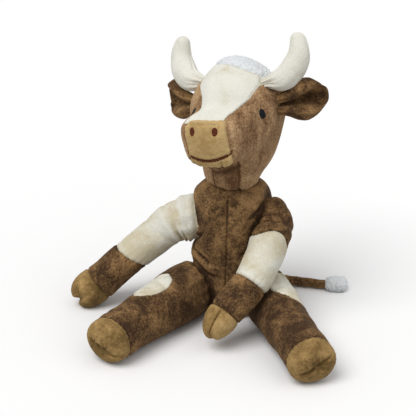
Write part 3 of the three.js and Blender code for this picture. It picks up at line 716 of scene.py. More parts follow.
def snap_seam(obj, field):
    """Moves the points nearest to a seam onto it, so that the cloth can be parted there."""
    points = coordinates(obj)
    ends = np.empty(len(obj.data.edges) * 2, np.int32)
    obj.data.edges.foreach_get("vertices", ends)
    ends = ends.reshape(-1, 2)
    first, second = field[ends[:, 0]], field[ends[:, 1]]
    crossing = first * second < 0
    ends, first, second = ends[crossing], first[crossing], second[crossing]
    share = first / (first - second)
    near = np.where(share < 0.5, ends[:, 0], ends[:, 1])
    target = points[ends[:, 0]] + share[:, None] * (points[ends[:, 1]] - points[ends[:, 0]])
    points[near] = target
    place_points(obj, points)
    snapped = field.copy()
    snapped[near] = 0
    return snapped


def face_sides(obj, field):
    """True for each face that lies on the low side of a seam."""
    return np.array([field[list(face.vertices)].sum() < 0 for face in obj.data.polygons])


def part_panels(obj, chosen):
    """Parts one skin into panels: name to which faces it has. A face goes to the first that claims it."""
    left = np.ones(len(obj.data.polygons), bool)
    panels = {}
    for name, wanted in chosen.items():
        mine = left & wanted
        left &= ~wanted
        bm = bmesh.new()
        bm.from_mesh(obj.data)
        bm.faces.ensure_lookup_table()
        bmesh.ops.delete(bm, geom=[face for face in bm.faces if not mine[face.index]], context="FACES")
        panels[name] = new_object(name, bm)
    bpy.data.objects.remove(obj)
    return panels


# Finishes

def linear(colour):
    """An sRGB hex colour as the linear values that a shader takes."""
    parts = [int(colour[i:i + 2], 16) / 255 for i in (1, 3, 5)]
    return [p / 12.92 if p <= 0.04045 else ((p + 0.055) / 1.055) ** 2.4 for p in parts] + [1.0]


def add_node(tree, kind, settings=(), stops=(), **links):
    """Adds a node with its settings and a ramp's stops, and sets or links its sockets by name or number."""
    node = tree.nodes.new(kind)
    for key, value in dict(settings).items():
        setattr(node, key, value)
    while stops and len(node.color_ramp.elements) < len(stops):
        node.color_ramp.elements.new(0.5)
    for i, (place, colour) in enumerate(stops):
        node.color_ramp.elements[i].position = place
        node.color_ramp.elements[i].color = linear(colour)
    for key, value in links.items():
        numbered = key[0] == "i" and key[1:].isdigit()
        socket = node.inputs[int(key[1:])] if numbered else node.inputs[key.replace("_", " ")]
        if isinstance(value, bpy.types.NodeSocket):
            tree.links.new(value, socket)
        else:
            socket.default_value = value
    return node


def new_finish(name, roughness, gloss=0.25, sheen=0.0, sheen_colour="#ffffff"):
    material = bpy.data.materials.new(name)
    material.use_nodes = True
    tree = material.node_tree
    shader = tree.nodes["Principled BSDF"]
    shader.inputs["Roughness"].default_value = roughness
    shader.inputs["Specular IOR Level"].default_value = gloss
    shader.inputs["Sheen Weight"].default_value = sheen
    shader.inputs["Sheen Roughness"].default_value = 0.45
    shader.inputs["Sheen Tint"].default_value = linear(sheen_colour)
    place = add_node(tree, "ShaderNodeTexCoord").outputs["Object"]
    return material, tree, shader, place


# Cotton velour, woven and cut: a short pile that handling has crushed this way and that, so the eye sees
# light and dark patches a finger wide, a fine grain, and a matt sheen where the cloth turns away. The cloth
# is also drawn darker with painted shade in creases and lighter with a painted highlight on rolls, and each
# piece may shift its tone, which on some pieces is painted shade and on others painted light. A streak above
# 1 stretches the patches down the cloth.
def velour(name, shades, crush, patch=24.0, sheen=0.3, streak=1.0):
    material, tree, shader, place = new_finish(name, 0.92, sheen=sheen, sheen_colour=shades[-1][1])
    brushed = add_node(tree, "ShaderNodeMapping", Vector=place, Scale=(1, 1, 1 / streak)).outputs["Vector"]
    shade = add_node(
        tree, "ShaderNodeTexNoise", Vector=brushed, Scale=1 / (patch * MM), Detail=3, Roughness=0.55,
        Distortion=0.3,
    ).outputs["Fac"]
    crushed = add_node(
        tree, "ShaderNodeTexNoise", Vector=brushed, Scale=4 / (patch * MM), Detail=5, Roughness=0.7,
        Distortion=0.2,
    ).outputs["Fac"]
    pile = add_node(
        tree, "ShaderNodeTexNoise", Vector=place, Scale=1 / (PILE_GRAIN * MM), Detail=2, Roughness=0.55,
        Distortion=0,
    ).outputs["Fac"]
    for layer, weight in ((crushed, 0.6 * crush), (pile, 0.8 * crush)):
        even = add_node(tree, "ShaderNodeMath", {"operation": "SUBTRACT"}, i0=layer, i1=0.5).outputs[0]
        shade = add_node(
            tree, "ShaderNodeMath", {"operation": "MULTIPLY_ADD"}, i0=even, i1=weight, i2=shade,
        ).outputs[0]
    # painted shade in creases and on some pieces darkens the cloth, and painted light on rolls and some
    # pieces lightens it
    tone_and_painted_shading = add_node(tree, "ShaderNodeAttribute", {"attribute_name": "tone_and_painted_shading"}).outputs["Fac"]
    shade = add_node(tree, "ShaderNodeMath", {"operation": "SUBTRACT"}, i0=shade, i1=tone_and_painted_shading).outputs[0]
    colour = add_node(tree, "ShaderNodeValToRGB", stops=shades, Fac=shade).outputs["Color"]
    tree.links.new(colour, shader.inputs["Base Color"])
    grain = add_node(
        tree, "ShaderNodeMath", {"operation": "MULTIPLY_ADD"}, i0=crushed, i1=1.6, i2=pile,
    ).outputs[0]
    bump = add_node(tree, "ShaderNodeBump", Height=grain, Distance=0.6 * MM).outputs["Normal"]
    tree.links.new(bump, shader.inputs["Normal"])
    return material


# Polyester fleece, knitted and brushed into curls: white loops with rounded tops, with painted shade, faintly
# grey, in the hollows
def fleece():
    material, tree, shader, place = new_finish("white_fleece", 0.95, sheen=0.4)
    curls = add_node(
        tree, "ShaderNodeTexVoronoi", {"feature": "SMOOTH_F1"}, Vector=place, Scale=1 / (CURL_SHADE * MM),
    ).outputs["Distance"]
    loops = add_node(
        tree, "ShaderNodeTexNoise", Vector=place, Scale=1 / (LOOP_GRAIN * MM), Detail=2, Roughness=0.55,
        Distortion=0,
    ).outputs["Fac"]
    # painted shade: the colour greys from each curl's top into the hollows round it
    colour = add_node(tree, "ShaderNodeValToRGB", stops=FLEECE_WHITE_AND_HOLLOW_SHADE, Fac=curls).outputs["Color"]
    tree.links.new(colour, shader.inputs["Base Color"])
    height = add_node(
        tree, "ShaderNodeMath", {"operation": "MULTIPLY_ADD"}, i0=curls, i1=-1.5, i2=loops,
    ).outputs[0]
    bump = add_node(tree, "ShaderNodeBump", Height=height, Distance=0.7 * MM).outputs["Normal"]
    tree.links.new(bump, shader.inputs["Normal"])
    return material


# Rayon embroidery thread in satin stitch: strands side by side, each with a faint gloss along its crest,
# drawn as a painted highlight.
# The strands are 0.4 mm wide, too fine to show, so they are drawn 1 mm wide.
def stitched(name, colour, painted_gloss):
    material, tree, shader, place = new_finish(name, 0.7, gloss=0.2)
    rows = add_node(
        tree, "ShaderNodeTexWave", {"bands_direction": "DIAGONAL"}, Vector=place,
        Scale=1 / (STRAND_WIDE * MM) / (2 * math.pi), Distortion=1.5, Detail=2.0,
    ).outputs["Fac"]
    # the colour runs from the thread's own to a painted highlight along each strand's crest
    shades = [(0, colour), (1, painted_gloss)]
    strands_and_painted_gloss = add_node(tree, "ShaderNodeValToRGB", stops=shades, Fac=rows).outputs["Color"]
    tree.links.new(strands_and_painted_gloss, shader.inputs["Base Color"])
    bump = add_node(tree, "ShaderNodeBump", Height=rows, Distance=0.3 * MM).outputs["Normal"]
    tree.links.new(bump, shader.inputs["Normal"])
    return material


# Shades from deep in each pile to its raised tips. The head's velour has been stroked downwards, so its
# patches run that way.
BROWN_SHADES = [(0.3, "#3a2716"), (0.45, "#5c4329"), (0.56, "#745838"), (0.74, "#98764d")]
HEAD_SHADES = [(0.28, "#6b4d31"), (0.45, "#917050"), (0.57, "#a17f5c"), (0.76, "#c2a37a")]
CREAM_SHADES = [(0.25, "#cfc5aa"), (0.48, "#e3e1d4"), (0.75, "#ebe9df")]
# the fleece: white on its curls' tops, with painted shade, faintly grey, in the hollows
FLEECE_WHITE_AND_HOLLOW_SHADE = [(0.1, "#eef2f4"), (0.8, "#dfe3e5")]
TAN_SHADES = [(0.25, "#6f5730"), (0.42, "#97794a"), (0.55, "#ad8e5b"), (0.78, "#c8aa76")]
FINISHES = {
    "brown_plush": velour("brown_cotton_velour", BROWN_SHADES, 0.9),
    "brown_velour": velour("brown_brushed_velour", HEAD_SHADES, 1.0, patch=26.0, streak=2.5),
    "cream_plush": velour("cream_cotton_velour", CREAM_SHADES, 0.4, patch=36.0, sheen=0.2),
    "tan_plush": velour("tan_cotton_velour", TAN_SHADES, 0.45, patch=20.0),
    "white_fleece": fleece(),
    # each thread's second colour is a painted highlight along its strands' crests
    "brown_thread": stitched("brown_embroidery_thread", "#451e0b", "#633012"),
    "rust_thread": stitched("rust_embroidery_thread", "#481f0a", "#642d10"),
    "navy_thread": stitched("navy_embroidery_thread", "#02040a", "#090f1d"),
}


def add_tone_and_painted_shading(obj, amount):
    """Adds to how much darker a piece is drawn: painted shade, painted light, or a shift of its tone."""
    if "tone_and_painted_shading" not in obj.data.attributes:
        obj.data.attributes.new("tone_and_painted_shading", "FLOAT", "POINT")
    tone_and_painted_shading = (attribute(obj, "tone_and_painted_shading") + amount).astype(np.float32)
    obj.data.attributes["tone_and_painted_shading"].data.foreach_set("value", tone_and_painted_shading)


def finish_piece(obj, slot, nodes, fill=None, body=None, blend=None, tone_and_painted_shading=None, thick=CLOTH_THICK):
    """Gives a piece its finish and hides the nodes that it stands for. A piece that blends has its place
    baked into its mesh; any other is hung on its body.
    """
    obj.data.materials.clear()
    obj.data.materials.append(FINISHES[slot])
    obj.data.shade_smooth()
    if tone_and_painted_shading is not None:
        add_tone_and_painted_shading(obj, tone_and_painted_shading)
    if thick:
        wall = obj.modifiers.new("cloth_wall", "SOLIDIFY")
        wall.thickness = thick * MM
        wall.offset = -1
    if blend:
        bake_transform(obj)
    else:
        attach(obj, body)
    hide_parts(*nodes)


# Forms

torso_form = {
    "line": line_through([(0, 0, 0), (0, 0, TORSO_HEIGHT)]),
    "rings": TORSO_RING_SHARES, "wide": TORSO_WIDE, "deep": TORSO_DEEP, "sides": 48, "spacing": 5.5,
}


def leg_form(side):
    root = np.array([side * LEG_ROOT[0], LEG_ROOT[1], LEG_ROOT[2]])
    drop = (LEG_THICK - ANKLE_THICK) / 2
    reach = math.sqrt(LEG_LENGTH ** 2 - drop ** 2)
    splay = LEG_SPLAY[side]
    sole = root + np.array([side * math.sin(splay) * reach, -math.cos(splay) * reach, -drop])
    return {
        "line": line_through([root, sole]), "rings": LEG_RING_SHARES[side], "wide": LEG_THICK,
        "deep": LEG_THICK, "sides": 36, "spacing": 5, "tip_dome": LEG_DOME, "seams": [LEG_HOOF_SEAM],
    }


def arm_form(side):
    pivot = ARM_PIVOTS[side]
    line = line_through(scaled_points(pivot, ARM_LINE_SHARES[side], ARM_REACH))
    gaps = np.linalg.norm(line["points"] - np.asarray(pivot), axis=1)
    start = line["lengths"][gaps.argmin()]
    return {
        "line": line, "rings": ARM_RING_SHARES[side], "wide": ARM_THICK, "deep": ARM_THICK, "sides": 32,
        "spacing": 4.5, "tip_dome": ARM_DOME, "sideways": (0, 0, 1), "start": start,
        "seams": [start + at for at in (ARM_SLEEVE, ARM_COLOUR_SEAMS[side], ARM_HOOF_SEAMS[side])],
    }


head_place = Matrix.Translation(HEAD_CENTRE) @ Euler((0, -HEAD_TILT, HEAD_TURN), "XYZ").to_matrix().to_4x4()
head_array = np.array(head_place)
skull_form = {
    "line": line_through(scaled_points((0, 0, 0), SKULL_LINE_SHARES, SKULL_HEIGHT)),
    "rings": SKULL_RING_SHARES, "wide": SKULL_WIDE, "deep": SKULL_DEEP, "sides": 48, "spacing": 5,
    "tip_dome": SKULL_DOME, "square": SKULL_SQUARE,
}
muzzle_form = {
    "line": line_through([(0, 0, 0), (-MUZZLE_ASIDE, -MUZZLE_REACH, -MUZZLE_DROP)]),
    "rings": MUZZLE_RING_SHARES, "wide": MUZZLE_WIDE, "deep": MUZZLE_HIGH, "sides": 40, "spacing": 5,
    "tip_dome": MUZZLE_DOME, "square": MUZZLE_SQUARE,
}


def horn_form(side):
    mirror = np.array([side, 1, 1])
    root = np.array(HORN_ROOT_SHARES) * np.array([SKULL_WIDE, SKULL_DEEP, SKULL_HEIGHT])
    return {
        "line": line_through(scaled_points(root, HORN_LINE_SHARES, HORN_LENGTH) * mirror),
        "rings": HORN_RING_SHARES, "wide": HORN_THICK, "deep": HORN_THICK, "sides": 24, "spacing": 3.5,
        "tip_dome": HORN_DOME, "sideways": (0, 1, 0),
    }


legs = {side: leg_form(side) for side in (1, -1)}
arms = {side: arm_form(side) for side in (1, -1)}
horns = {side: horn_form(side) for side in (1, -1)}
SIDE_NAMES = {1: "left", -1: "right"}


def to_cow(points):
    """Points of the head's frame, in the cow's frame."""
    return np.asarray(points, float) @ head_array[:3, :3].T + head_array[:3, 3]


def to_head(points):
    return (np.asarray(points, float) - head_array[:3, 3]) @ head_array[:3, :3]


# Torso

def torso_relief(points):
    """How far the torso's cloth stands out at its seams and folds and at its joins with the limbs."""
    centre = points[:, 0]
    outwards = roll(centre, *SEAMS["cover"]) * (np.abs(points[:, 1]) > TORSO_SEAM_FROM)
    outwards += puckers(centre, points[:, 2], "torso")
    back, height = ARMHOLE_MIDDLE
    around = np.arctan2(points[:, 2] - height, points[:, 1] - back) * ARMHOLE_RADIUS
    for side in (1, -1):
        arm_gap = limb_gap(points, arms[side])
        leg_gap = limb_gap(points, legs[side])
        outwards += roll(np.maximum(arm_gap, 0), *SEAMS["join"]) * (arm_gap < ARMHOLE_REACH)
        outwards += roll(np.maximum(leg_gap, 0), *SEAMS["join"]) * (points[:, 2] > TORSO_JOIN_RISE)
        outwards += puckers(np.maximum(arm_gap, 0), around, "armhole")
    for path, depth, width in TORSO_FOLDS:
        outwards += fold(points, path, depth, width)
    collar = np.linalg.norm(points - np.array(COLLAR_SLOPE), axis=1)
    outwards += groove(collar, COLLAR_SLOPE_DEPTH, COLLAR_SLOPE_REACH)
    outwards += lumps(points, "torso")
    fade = np.clip((TORSO_HEIGHT - points[:, 2]) / TORSO_FADE, COLLAR_RELIEF, 1)
    return outwards * fade * np.clip(points[:, 2] / TORSO_FADE, 0, 1)


def make_torso():
    torso = stuffed_form("torso_skin", torso_form, grow=-SLACK)
    points = coordinates(torso)
    middle = np.abs(points[:, 0]) < SEAM_HELD
    ends = (points[:, 2] < SEAM_HELD) | (points[:, 2] > TORSO_HEIGHT - ROOTS_HELD["torso"])
    plump(torso, middle | ends, PLUMP_CAPS["torso"])
    divide(torso, 2)
    swell(torso, torso_relief(coordinates(torso)))
    rest_on_floor(torso)
    points = coordinates(torso)
    seat = np.hypot(points[:, 0] / (SEAT_WIDE / 2), points[:, 1] / (SEAT_DEEP / 2)) - 1
    underneath = points[:, 2] < SEAT_RISE
    seat = snap_seam(torso, np.where(underneath, seat * SEAT_DEEP / 2, SEAT_DEEP))
    centre = snap_seam(torso, coordinates(torso)[:, 0])
    panels = part_panels(torso, {
        "seat_oval": face_sides(torso, seat),
        "torso_right_panel": face_sides(torso, centre),
        "torso_left_panel": np.ones(len(torso.data.polygons), bool),
    })
    twist = (("torso", "neck"), (0, 0, COLLAR_SOFT_FROM), (0, 0, TORSO_HEIGHT))
    for name, nodes, moves in (
        ("torso_left_panel", ("torso_left", "torso_stuffing"), {"blend": twist}),
        ("torso_right_panel", ("torso_right",), {"blend": twist}),
        ("seat_oval", ("seat_panel",), {"body": "torso"}),
    ):
        finish_piece(panels[name], "brown_plush", nodes, "torso", tone_and_painted_shading=TORSO_WEAR, **moves)


# Legs

def leg_relief(leg, side):
    """How far a leg's cloth stands out at its seams and creases, at the hip and on its sole."""
    points = coordinates(leg)
    along, across, through = (attribute(leg, label) for label in ("along", "across", "through"))
    turn = np.arctan2(-through, across)
    run = turn * LEG_THICK / 2
    hoof_gap = along - LEG_HOOF_SEAM
    torso_gap = np.maximum(limb_gap(points, torso_form), 0)
    outwards = roll(hoof_gap, *SEAMS["cover"]) + puckers(hoof_gap, run, "sole")
    outwards += roll(torso_gap, *SEAMS["join"]) * (points[:, 2] > LEG_JOIN_RISE)
    outwards += puckers(np.maximum(along - HIP_GATHERS_TO, 0), run, "hip")
    for crease_along, crease_turn, slant, depth in LEG_CREASES:
        gap = along - crease_along - slant * (turn - crease_turn)
        share = np.exp(-((turn - crease_turn) / LEG_CREASE_TURN) ** 2)
        outwards += roll(gap, depth, LEG_CREASE_WIDTH) * share
    outwards += lumps(points, "leg", side)
    tip = np.clip(hoof_gap / SOLE_FADE, 0, 1)
    outwards += tip * sole_tucks(across * ANKLE_THICK / 2, -through * ANKLE_THICK / 2, side)
    return outwards * np.clip(points[:, 2] / LEG_FLOOR_FADE, 0, 1)


def patch_field(leg, side):
    """Distance to the edge of a leg's white patch, with less than nothing on the patch."""
    along, across, through = (attribute(leg, label) for label in ("along", "across", "through"))
    patch_along, patch_turn, half_long, half_wide = PATCHES[side]
    turn = np.arctan2(-through, across) - (patch_turn if side > 0 else math.pi - patch_turn)
    aside = np.arctan2(np.sin(turn), np.cos(turn)) * LEG_THICK / 2
    return (np.hypot((along - patch_along) / half_long, aside / half_wide) - 1) * half_wide


def make_leg(side):
    name = f"leg_{SIDE_NAMES[side]}"
    leg = stuffed_form(f"{name}_skin", legs[side], grow=-SLACK)
    along = attribute(leg, "along")
    held = (np.abs(along - LEG_HOOF_SEAM) < SEAM_HELD) | (along < ROOTS_HELD["leg"])
    plump(leg, held, PLUMP_CAPS["leg"])
    divide(leg, 2)
    swell(leg, leg_relief(leg, side))
    rest_on_floor(leg)
    hoof = snap_seam(leg, LEG_HOOF_SEAM - attribute(leg, "along"))
    patch = snap_seam(leg, patch_field(leg, side))
    swell(leg, roll(patch, *SEAMS["patch"]))
    rest_on_floor(leg)
    panels = part_panels(leg, {
        f"{name}_sole": face_sides(leg, hoof),
        f"{name}_white_patch": face_sides(leg, patch),
        f"{name}_tube": np.ones(len(leg.data.polygons), bool),
    })
    soft, _ = along_line(legs[side]["line"], np.array([LEG_SOFT_FROM, LEG_SOFT_TO]))
    bend = (("torso", name), soft[0], soft[1])
    tube_nodes = (name, f"hip_{SIDE_NAMES[side]}", f"{name}_stuffing")
    tube, patch, sole = (panels[f"{name}_{label}"] for label in ("tube", "white_patch", "sole"))
    finish_piece(tube, "brown_plush", tube_nodes, "leg", blend=bend, tone_and_painted_shading=LEG_WEARS[side])
    finish_piece(patch, "cream_plush", (f"{name}_patch",), "leg", blend=bend, tone_and_painted_shading=PATCH_WEAR)
    # the sole is drawn darker
    finish_piece(sole, "tan_plush", (f"{name}_hoof",), "sole", body=name, tone_and_painted_shading=SOLE_TONE)


def sole_tucks(x, z, side):
    """Stitches pulled through the sole, which make two toes, and the tucks that run from them."""
    pits, tucks = SOLE_PITS[side], SOLE_TUCKS[side]
    moved = np.zeros(len(x))
    for pit_x, pit_z in pits:
        near = np.hypot(x - pit_x, z - pit_z)
        star = 1 + 0.5 * np.cos(SOLE_STAR_RAYS * np.arctan2(z - pit_z, x - pit_x))
        ring = groove(near - SOLE_STAR_RADIUS, SOLE_STAR_DEPTH, SOLE_STAR_WIDTH)
        moved += groove(near, *SOLE_PIT) + star * ring
    places = np.stack([x, z], axis=1)
    for tuck in tucks:
        moved += fold(places, tuck, *SEAMS["sole"])
    return moved


# Arms

def arm_relief(arm, side, colour_gap, hoof_gap, sleeve_gap):
    """How far an arm's cloth stands out at its seams, at the shoulder, in its creases and on its hoof."""
    points = coordinates(arm)
    along, across, through = (attribute(arm, label) for label in ("along", "across", "through"))
    turn = np.arctan2(through, across)
    run = turn * ARM_THICK / 2
    from_pivot = along - arms[side]["start"]
    outwards = arm_folds(from_pivot, turn, side)
    for gap in (colour_gap, hoof_gap):
        outwards += roll(gap, *SEAMS["cover"]) + puckers(gap, run, "arm")
    outwards += puckers(np.maximum(from_pivot + SHOULDER_GATHERS_BEFORE, 0), run, "shoulder")
    outwards += roll(np.maximum(limb_gap(points, torso_form), 0), *SEAMS["join"])
    outwards += lumps(points, "arm", side)
    if side > 0:
        puff = np.linalg.norm(points - np.array(SHOULDER_PUFF), axis=1)
        outwards -= groove(puff, SHOULDER_PUFF_RISE, SHOULDER_PUFF_REACH)
        outwards += roll(sleeve_gap, *SEAMS["cover"])
        outwards += hoof_pleats(hoof_gap, run)
    return outwards


def arm_folds(from_pivot, turn, side):
    """The creases that an arm's bend presses into its cloth near the shoulder, deepest on one side."""
    if side > 0:
        wave = np.sin(turn)
        share = 0.5 + 0.5 * np.cos(turn - 0.4)
    else:
        wave = np.cos(turn)
        share = 0.35 + 0.65 * np.clip(0.2 - np.cos(turn - 0.3), 0, 1)
    moved = np.zeros(len(turn))
    for place, lean, depth, width in ARM_CREASES[side]:
        moved += roll(from_pivot - place - lean * wave, depth, width) * share
    if side < 0:
        place, lean, depth, width = ARM_VALLEY
        gap = from_pivot - place - lean * wave
        moved += roll(gap, depth, width) * (0.4 + 0.6 * np.abs(np.sin(turn)))
    return moved


def hoof_pleats(gap, run):
    """A sewn line down the middle of the hoof's upper side, with small pleats that leave it on both sides."""
    aside = run - HOOF_LINE_SIDE
    on_top = np.exp(-(aside / HOOF_PLEAT_REACH) ** 2) * np.clip(gap / 3, 0, 1)
    turns = (gap + HOOF_PLEAT_SLANT * np.abs(aside)) / STITCH_PITCH
    return (roll(aside, *SEAMS["hoof"]) + HOOF_PLEAT_DEPTH * np.cos(2 * math.pi * turns)) * on_top


def make_arm(side):
    name = f"arm_{SIDE_NAMES[side]}"
    form = arms[side]
    start = form["start"]
    sleeve_seam, colour_seam, hoof_seam = form["seams"]
    arm = stuffed_form(f"{name}_skin", form, grow=-SLACK)
    along = attribute(arm, "along")
    seams = np.minimum(np.abs(along - hoof_seam), np.abs(along - colour_seam))
    plump(arm, (seams < SEAM_HELD) | (along < start + ROOTS_HELD["arm"]), PLUMP_CAPS["arm"])
    divide(arm, 2)
    along, across, through = (attribute(arm, label) for label in ("along", "across", "through"))
    turn = np.arctan2(through, across)
    colour_gap = along - colour_seam - ARM_SEAM_SLANTS[side] * across
    hoof_gap = along - hoof_seam
    sleeve_gap = along - sleeve_seam - SLEEVE_DIP * np.sin(turn - SLEEVE_TURN) ** 2
    swell(arm, arm_relief(arm, side, colour_gap, hoof_gap, sleeve_gap))
    part_toes(arm, form, side)
    rest_on_floor(arm)
    chosen = {
        f"{name}_hoof_cap": face_sides(arm, snap_seam(arm, -hoof_gap)),
        f"{name}_brown": face_sides(arm, snap_seam(arm, -colour_gap)),
    }
    if side > 0:
        chosen[f"{name}_white"] = face_sides(arm, snap_seam(arm, -sleeve_gap))
    chosen[f"{name}_sleeve" if side > 0 else f"{name}_white"] = np.ones(len(arm.data.polygons), bool)
    panels = part_panels(arm, chosen)
    soft, _ = along_line(form["line"], np.array([start - ARM_SOFT_BEFORE, start + ARM_SOFT_BEYOND]))
    bend = (("torso", name), soft[0], soft[1])
    upper = (f"{name}_upper", f"{name}_stuffing")
    if side > 0:
        finish_piece(panels["arm_left_sleeve"], "brown_plush", ("shoulder_left",), "sleeve", blend=bend)
    else:
        upper += ("shoulder_right",)
    white, brown, cap = (panels[f"{name}_{label}"] for label in ("white", "brown", "hoof_cap"))
    # the white of each arm is drawn darker: painted shade
    finish_piece(white, "cream_plush", upper, "arm", blend=bend, tone_and_painted_shading=ARM_PAINTED_SHADE)
    finish_piece(brown, "brown_plush", (f"{name}_lower",), "arm", body=name)
    finish_piece(cap, "tan_plush", (f"{name}_hoof",), "arm", body=name, tone_and_painted_shading=HOOF_WEARS[side])


def part_toes(arm, form, side):
    """Draws the cloth in between the two toes of a hoof, which lie side by side at a turn about the arm."""
    points = coordinates(arm)
    tip, way = along_line(form["line"], np.array([line_length(form["line"])]))
    level = np.cross(way[0], (0, 0, 1.0))
    level /= np.linalg.norm(level)
    turn = ARM_TOES_TURNS[side]
    across = level * math.cos(turn) + np.cross(way[0], level) * math.sin(turn)
    aside = (points - tip[0]) @ across - CLEFT_SIDES[side]
    short = -((points - tip[0]) @ way[0])
    share = np.clip(1 - short / (line_length(form["line"]) - form["seams"][-1]), 0, 1)
    pull = CLEFT_DEPTHS[side] * share ** 1.5 * np.exp(-(aside / CLEFT_HALF) ** 2)
    place_points(arm, points - way[0] * pull[:, None])


# Head

def edge_side(shares, heights):
    sides, rises = np.array(shares).T
    return np.interp(heights, rises * SKULL_HEIGHT, sides * SKULL_WIDE)


def blaze_field(points):
    """Distance to the blaze's edge across the face, with less than nothing on the blaze."""
    left = points[:, 0] - edge_side(BLAZE_LEFT_SHARES, points[:, 2])
    right = edge_side(BLAZE_RIGHT_SHARES, points[:, 2]) - points[:, 0]
    low = BLAZE_LEFT_SHARES[0][1] * SKULL_HEIGHT - points[:, 2]
    return np.maximum.reduce([left, right, points[:, 1] + BLAZE_BACK, low])


def crown_field(points):
    across = (points[:, 0] - CROWN_SIDE) / (CROWN_WIDE / 2)
    back = (points[:, 1] - CROWN_BACK) / (CROWN_DEEP / 2)
    return np.maximum((np.hypot(across, back) - 1) * CROWN_DEEP / 2, CROWN_HEIGHT - points[:, 2])


def middle_field(points):
    return points[:, 0] - SKULL_ASIDE


def throat_field(points):
    left = points[:, 0] - THROAT_LEFT - THROAT_TAPER * (points[:, 2] - THROAT_TOP)
    right = THROAT_RIGHT - points[:, 0]
    return np.maximum.reduce([left, right, points[:, 1], points[:, 2] + MUZZLE_HIGH / 2])


def nose_field(points):
    """Distance to the nose patch's edge, with less than nothing on the patch."""
    aside = np.abs(points[:, 0] - NOSE_SIDE) * 2 / NOSE_WIDE
    rise = np.abs(points[:, 2] - NOSE_RISE) * 2 / NOSE_HIGH
    gap = ((aside ** NOSE_SQUARE + rise ** NOSE_SQUARE) ** (1 / NOSE_SQUARE) - 1) * NOSE_WIDE / 2
    return np.maximum(gap, points[:, 1] + NOSE_BACK)


def head_cover():
    """One cover over the skull and the muzzle, evened out where they meet."""
    skull = stuffed_form("skull_skin", skull_form, grow=-SLACK)
    muzzle = stuffed_form("muzzle_skin", muzzle_form, grow=-SLACK / 2)
    bm = bmesh.new()
    bm.from_mesh(skull.data)
    bm.from_mesh(muzzle.data)
    head = new_object("head_skin", bm)
    bpy.data.objects.remove(skull)
    bpy.data.objects.remove(muzzle)
    remesh = head.modifiers.new("even", "REMESH")
    remesh.mode = "VOXEL"
    remesh.voxel_size = HEAD_GRAIN * MM
    settle(head)
    bm = bmesh.new()
    bm.from_mesh(head.data)
    axes = {"use_axis_x": True, "use_axis_y": True, "use_axis_z": True}
    for _ in range(2):
        bmesh.ops.smooth_vert(bm, verts=bm.verts, factor=0.5, **axes)
    bm.to_mesh(head.data)
    bm.free()
    return head


def face_relief(points, nose_gap):
    """How far the cloth stands out round the nose, the mouth, the nostrils and the eyes."""
    around = np.arctan2(points[:, 2] - NOSE_RISE, points[:, 0] - NOSE_SIDE) * NOSE_WIDE / 2
    outwards = roll(nose_gap, *SEAMS["cover"]) + puckers(nose_gap, around, "nose")
    outwards += NOSE_RAISED * np.clip(-nose_gap / NOSE_EDGE, 0, 1)
    outwards -= groove(nose_gap + NOSE_RIM_INSIDE, NOSE_RIM_RISE, NOSE_RIM_WIDE)
    for side in (1, -1):
        eye = eye_centre(side)
        outwards += groove(np.linalg.norm(points - eye, axis=1), *EYE_SOCKET)
        crease = [eye + np.array([side * aside, back, rise]) for aside, back, rise in EYE_CREASE]
        outwards += fold(points, crease, *SEAMS["eye"])
        nostril = np.array([NOSTRIL_CENTRE + side * NOSTRIL_SIDE, -MUZZLE_REACH, NOSTRIL_RISE])
        outwards += groove(np.linalg.norm(points - nostril, axis=1), *NOSTRIL_PIT)
    mouth_gap = points[:, 2] - mouth_height(points[:, 0])
    lips = (points[:, 1] < -NOSE_BACK) & (np.abs(points[:, 0] - MOUTH_SIDE) < MOUTH_HALF + LIPS_BEYOND)
    outwards += roll(mouth_gap, *SEAMS["mouth"]) * lips
    outwards += puckers(np.minimum(mouth_gap, 0), points[:, 0], "mouth") * lips * (mouth_gap < 0)
    return outwards


def head_relief(points, nose_gap):
    """How far the head's cloth stands out at its seams, in its folds and on its face."""
    on_top = points[:, 2] > CROWN_HEIGHT
    below = points[:, 2] < THROAT_SEAM_TO
    behind = points[:, 1] > -BLAZE_BACK
    outwards = face_relief(points, nose_gap)
    outwards += roll(blaze_field(points), *SEAMS["panel"]) * (points[:, 1] < BLAZE_SEAM_TO)
    outwards += roll(crown_field(points), *SEAMS["panel"]) * on_top
    outwards += roll(throat_field(points), *SEAMS["throat"]) * below
    outwards += roll(middle_field(points), *SEAMS["cover"]) * behind
    outwards += fold(points, CHIN_FOLD, *SEAMS["chin"])
    for horn in horns.values():
        root_gap = np.maximum(limb_gap(points, horn), 0)
        outwards += roll(root_gap, *SEAMS["horn_root"]) * (points[:, 2] > HORN_SEAM_FROM)
    return outwards + lumps(points, "head")


